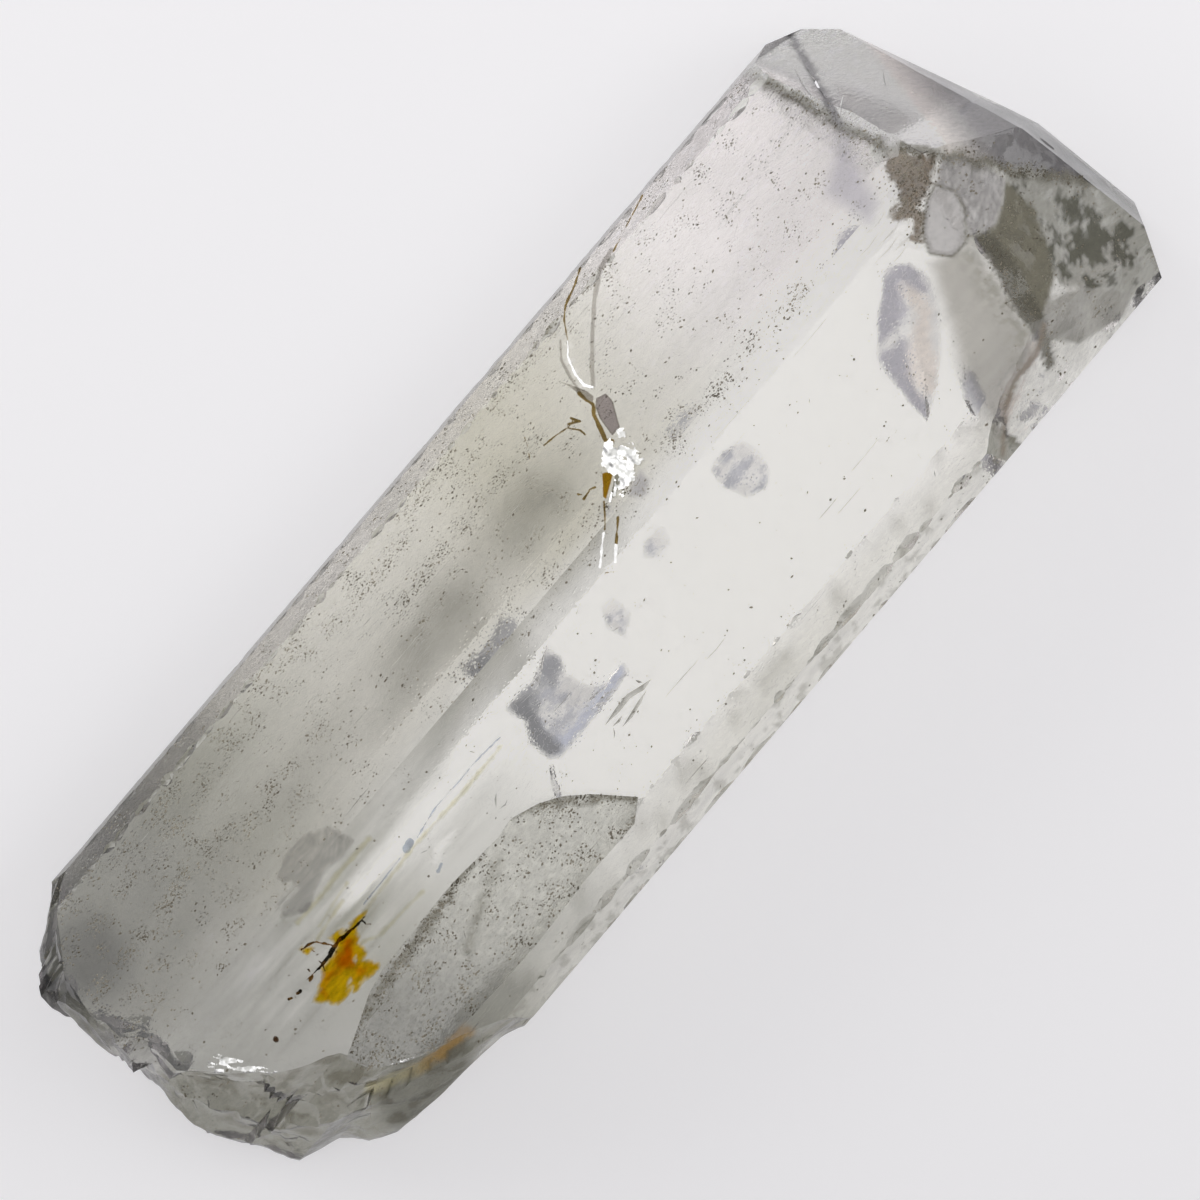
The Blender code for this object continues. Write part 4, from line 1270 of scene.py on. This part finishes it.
# Where the cracks stand open at the skin, their walls are silvery, and the burst between them is
# shattered into flakes of air. Both are films of the same silver, the burst's crumpled like foil.
SILVER_CRACKS = (  # points and half width
    (PALE_NEEDLES[2], 0.038),
    (PALE_NEEDLES[0], 0.045),
    (PALE_NEEDLES[1], 0.055),
    (((5.05, 3.3), (4.7, 2.9), (4.85, 2.5)), 0.05),
    (((4.5, 3.1), (4.3, 2.7)), 0.07),
    (((4.75, 2.2), (4.5, 1.9), (3.9, 1.7)), 0.05),
    (((3.6, 1.95), (3.3, 1.8)), 0.05),
)
silver_air = film_material("silvery_air", {"Metallic": 1.0, "Roughness": 0.24})
film("silver_cracks", (0.9, -0.1, 7.4, 7.3), 0.03, lines_inside(SILVER_CRACKS, 0.06), over_skin(0.04),
     mottled((0.78, 0.78, 0.77), 0.7, 0.5, 3.0, 2), 0.0, silver_air)


def crumpled(rise, height, scale):
    """A height over the skin that is crumpled like foil."""
    flat = over_skin(rise)
    return lambda x, y: flat(x, y) + height * ripple(x * scale, y * scale, 9.0)


def foil(x, y):
    """Silver with darker folds."""
    folds = ripple(x * 4.5 + y * 2.0, y * 3.2 - x, 2.0)
    folds += 0.6 * ripple(x * 9.0, y * 8.0, 4.0)
    return Vector((0.5, 0.5, 0.48)).lerp(Vector((0.88, 0.88, 0.87)), eased(folds, -0.35, 0.35))


def shattered_inside(x, y):
    if not near(x, y, SHATTERED, 0.3):
        return -1.0
    return min(ragged(depth_in(x, y, SHATTERED), Vector((x, y, 1.0)), 0.15, 2.0),
               rough_noise(Vector((x, y, 3.0)), 2.6, 3) - 0.42)


film("shattered_air", (3.2, 0.8, 5.9, 3.6), 0.04, shattered_inside, crumpled(0.07, 0.05, 3.4),
     foil, 0.0, silver_air)

# On the crest of the broken end open cleavages sparkle in fibres along the break: more of the
# silver, in shreds on the level ground beside two lines.
CREST = ((-22.3, -0.7), (-21.9, -1.6), (-21.5, -2.6), (-20.9, -3.7), (-20.2, -4.6))
CREST_SLASH = ((-18.5, -5.6), (-17.8, -6.0), (-17.2, -6.4))


def crest_inside(x, y):
    place, up = skin(x, y)
    if place is None or up.z < 0.9:
        return -1.0
    reach = max(0.4 - gap_to(x, y, CREST), 0.16 - gap_to(x, y, CREST_SLASH))
    if reach < 0.0:
        return -1.0
    along, across = 0.55 * x - 0.83 * y, 0.83 * x + 0.55 * y
    fibres = rough_noise(Vector((along * 0.9, across * 3.6, 5.0)), 1.9, 4)
    return min(reach, fibres - 0.53)


film("crest_sparks", (-22.9, -6.7, -16.9, -0.1), 0.04, crest_inside, crumpled(0.035, 0.02, 3.0),
     foil, 0.0, silver_air)

# Dirt grains: brown clay stuck in the etch dots and along the growth grooves of the upper skin.
# They sit half sunk in it, and lie along the prism. Geometry Nodes scatter them, most where the
# skin's soil is thickest.
GRAINS_PER_MM2 = 230.0
GRAIN_SIZE = (0.011, 0.05)
CLAY = ((0.35, (0.16, 0.14, 0.1, 1.0)), (0.65, (0.4, 0.36, 0.28, 1.0)))

ground = bmesh.new()
ground.from_mesh(crystal.data)
bmesh.ops.delete(ground, geom=[face for face in ground.faces if face.normal.z < FACES_UP], context="FACES")
grains = to_object("dirt_grains", ground)

clay, clay_tree, clay_surface = new_material("clay_dirt", {"Roughness": 0.8})
clay_mix = add(clay_tree, "ShaderNodeTexNoise", {"Vector": in_mm(clay_tree), "Scale": 1.1, "Detail": 1.0})
clay_ramp = add(clay_tree, "ShaderNodeValToRGB", {"Fac": clay_mix.outputs["Fac"]})
for stop, (share, colour) in zip(clay_ramp.color_ramp.elements, CLAY):
    stop.position = share
    stop.color = colour
clay_tree.links.new(clay_ramp.outputs["Color"], clay_surface.inputs["Base Color"])

scatter = bpy.data.node_groups.new("grain_scatter", "GeometryNodeTree")
scatter.interface.new_socket("Skin", in_out="INPUT", socket_type="NodeSocketGeometry")
for name in ("Grains per square metre", "Smallest", "Largest"):
    scatter.interface.new_socket(name, in_out="INPUT", socket_type="NodeSocketFloat")
scatter.interface.new_socket("Grains", in_out="OUTPUT", socket_type="NodeSocketGeometry")
skin_in = scatter.nodes.new("NodeGroupInput")
grains_out = scatter.nodes.new("NodeGroupOutput")
thick = add(scatter, "GeometryNodeInputNamedAttribute", {"Name": "soil"}, data_type="FLOAT")
thick = thick.outputs["Attribute"]
dense = calc(scatter, "MULTIPLY", thick, thick)
dense = calc(scatter, "MULTIPLY", dense, skin_in.outputs["Grains per square metre"])
spread = add(scatter, "GeometryNodeDistributePointsOnFaces", {
    "Mesh": skin_in.outputs["Skin"], "Density": dense, "Seed": 7})
lie = add(scatter, "FunctionNodeAlignRotationToVector", {"Vector": spread.outputs["Normal"]}, axis="Z")
turn = add(scatter, "FunctionNodeRandomValue", {"Min": (0.0, 0.0, -0.7), "Max": (0.0, 0.0, 0.7), "Seed": 3},
           data_type="FLOAT_VECTOR")
lie = add(scatter, "FunctionNodeRotateRotation", {
    "Rotation": lie.outputs["Rotation"], "Rotate By": turn.outputs["Value"]}, rotation_space="LOCAL")
size = add(scatter, "FunctionNodeRandomValue", {"Min": 0.0, "Max": 1.0, "Seed": 5}, data_type="FLOAT")
size = calc(scatter, "POWER", size.outputs[1], 3.0)
spare = calc(scatter, "SUBTRACT", skin_in.outputs["Largest"], skin_in.outputs["Smallest"])
size = calc(scatter, "MULTIPLY_ADD", size, spare, skin_in.outputs["Smallest"])
shape = add(scatter, "FunctionNodeRandomValue", {"Min": (0.8, 0.6, 0.3), "Max": (2.0, 1.2, 0.6), "Seed": 9},
            data_type="FLOAT_VECTOR")
swell = add(scatter, "ShaderNodeVectorMath", {0: shape.outputs["Value"], "Scale": size}, operation="SCALE")
pebble = add(scatter, "GeometryNodeMeshUVSphere", {"Radius": 1.0, "Segments": 4, "Rings": 2})
placed = add(scatter, "GeometryNodeInstanceOnPoints", {
    "Points": spread.outputs["Points"], "Instance": pebble.outputs["Mesh"],
    "Rotation": lie.outputs["Rotation"], "Scale": swell.outputs["Vector"]})
real = add(scatter, "GeometryNodeRealizeInstances", {"Geometry": placed.outputs["Instances"]})
painted = add(scatter, "GeometryNodeSetMaterial", {"Geometry": real.outputs["Geometry"], "Material": clay})
scatter.links.new(painted.outputs["Geometry"], grains_out.inputs["Grains"])

sown = grains.modifiers.new("grain_scatter", "NODES")
sown.node_group = scatter
for name, value in (("Grains per square metre", GRAINS_PER_MM2 / MM ** 2),
                    ("Smallest", GRAIN_SIZE[0] * MM), ("Largest", GRAIN_SIZE[1] * MM)):
    socket = next(item for item in scatter.interface.items_tree if item.name == name)
    sown[socket.identifier] = value
bpy.context.view_layer.update()
grown = bpy.data.meshes.new_from_object(grains.evaluated_get(bpy.context.evaluated_depsgraph_get()))
grains.modifiers.clear()
grains.data = grown
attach(grains, "root")
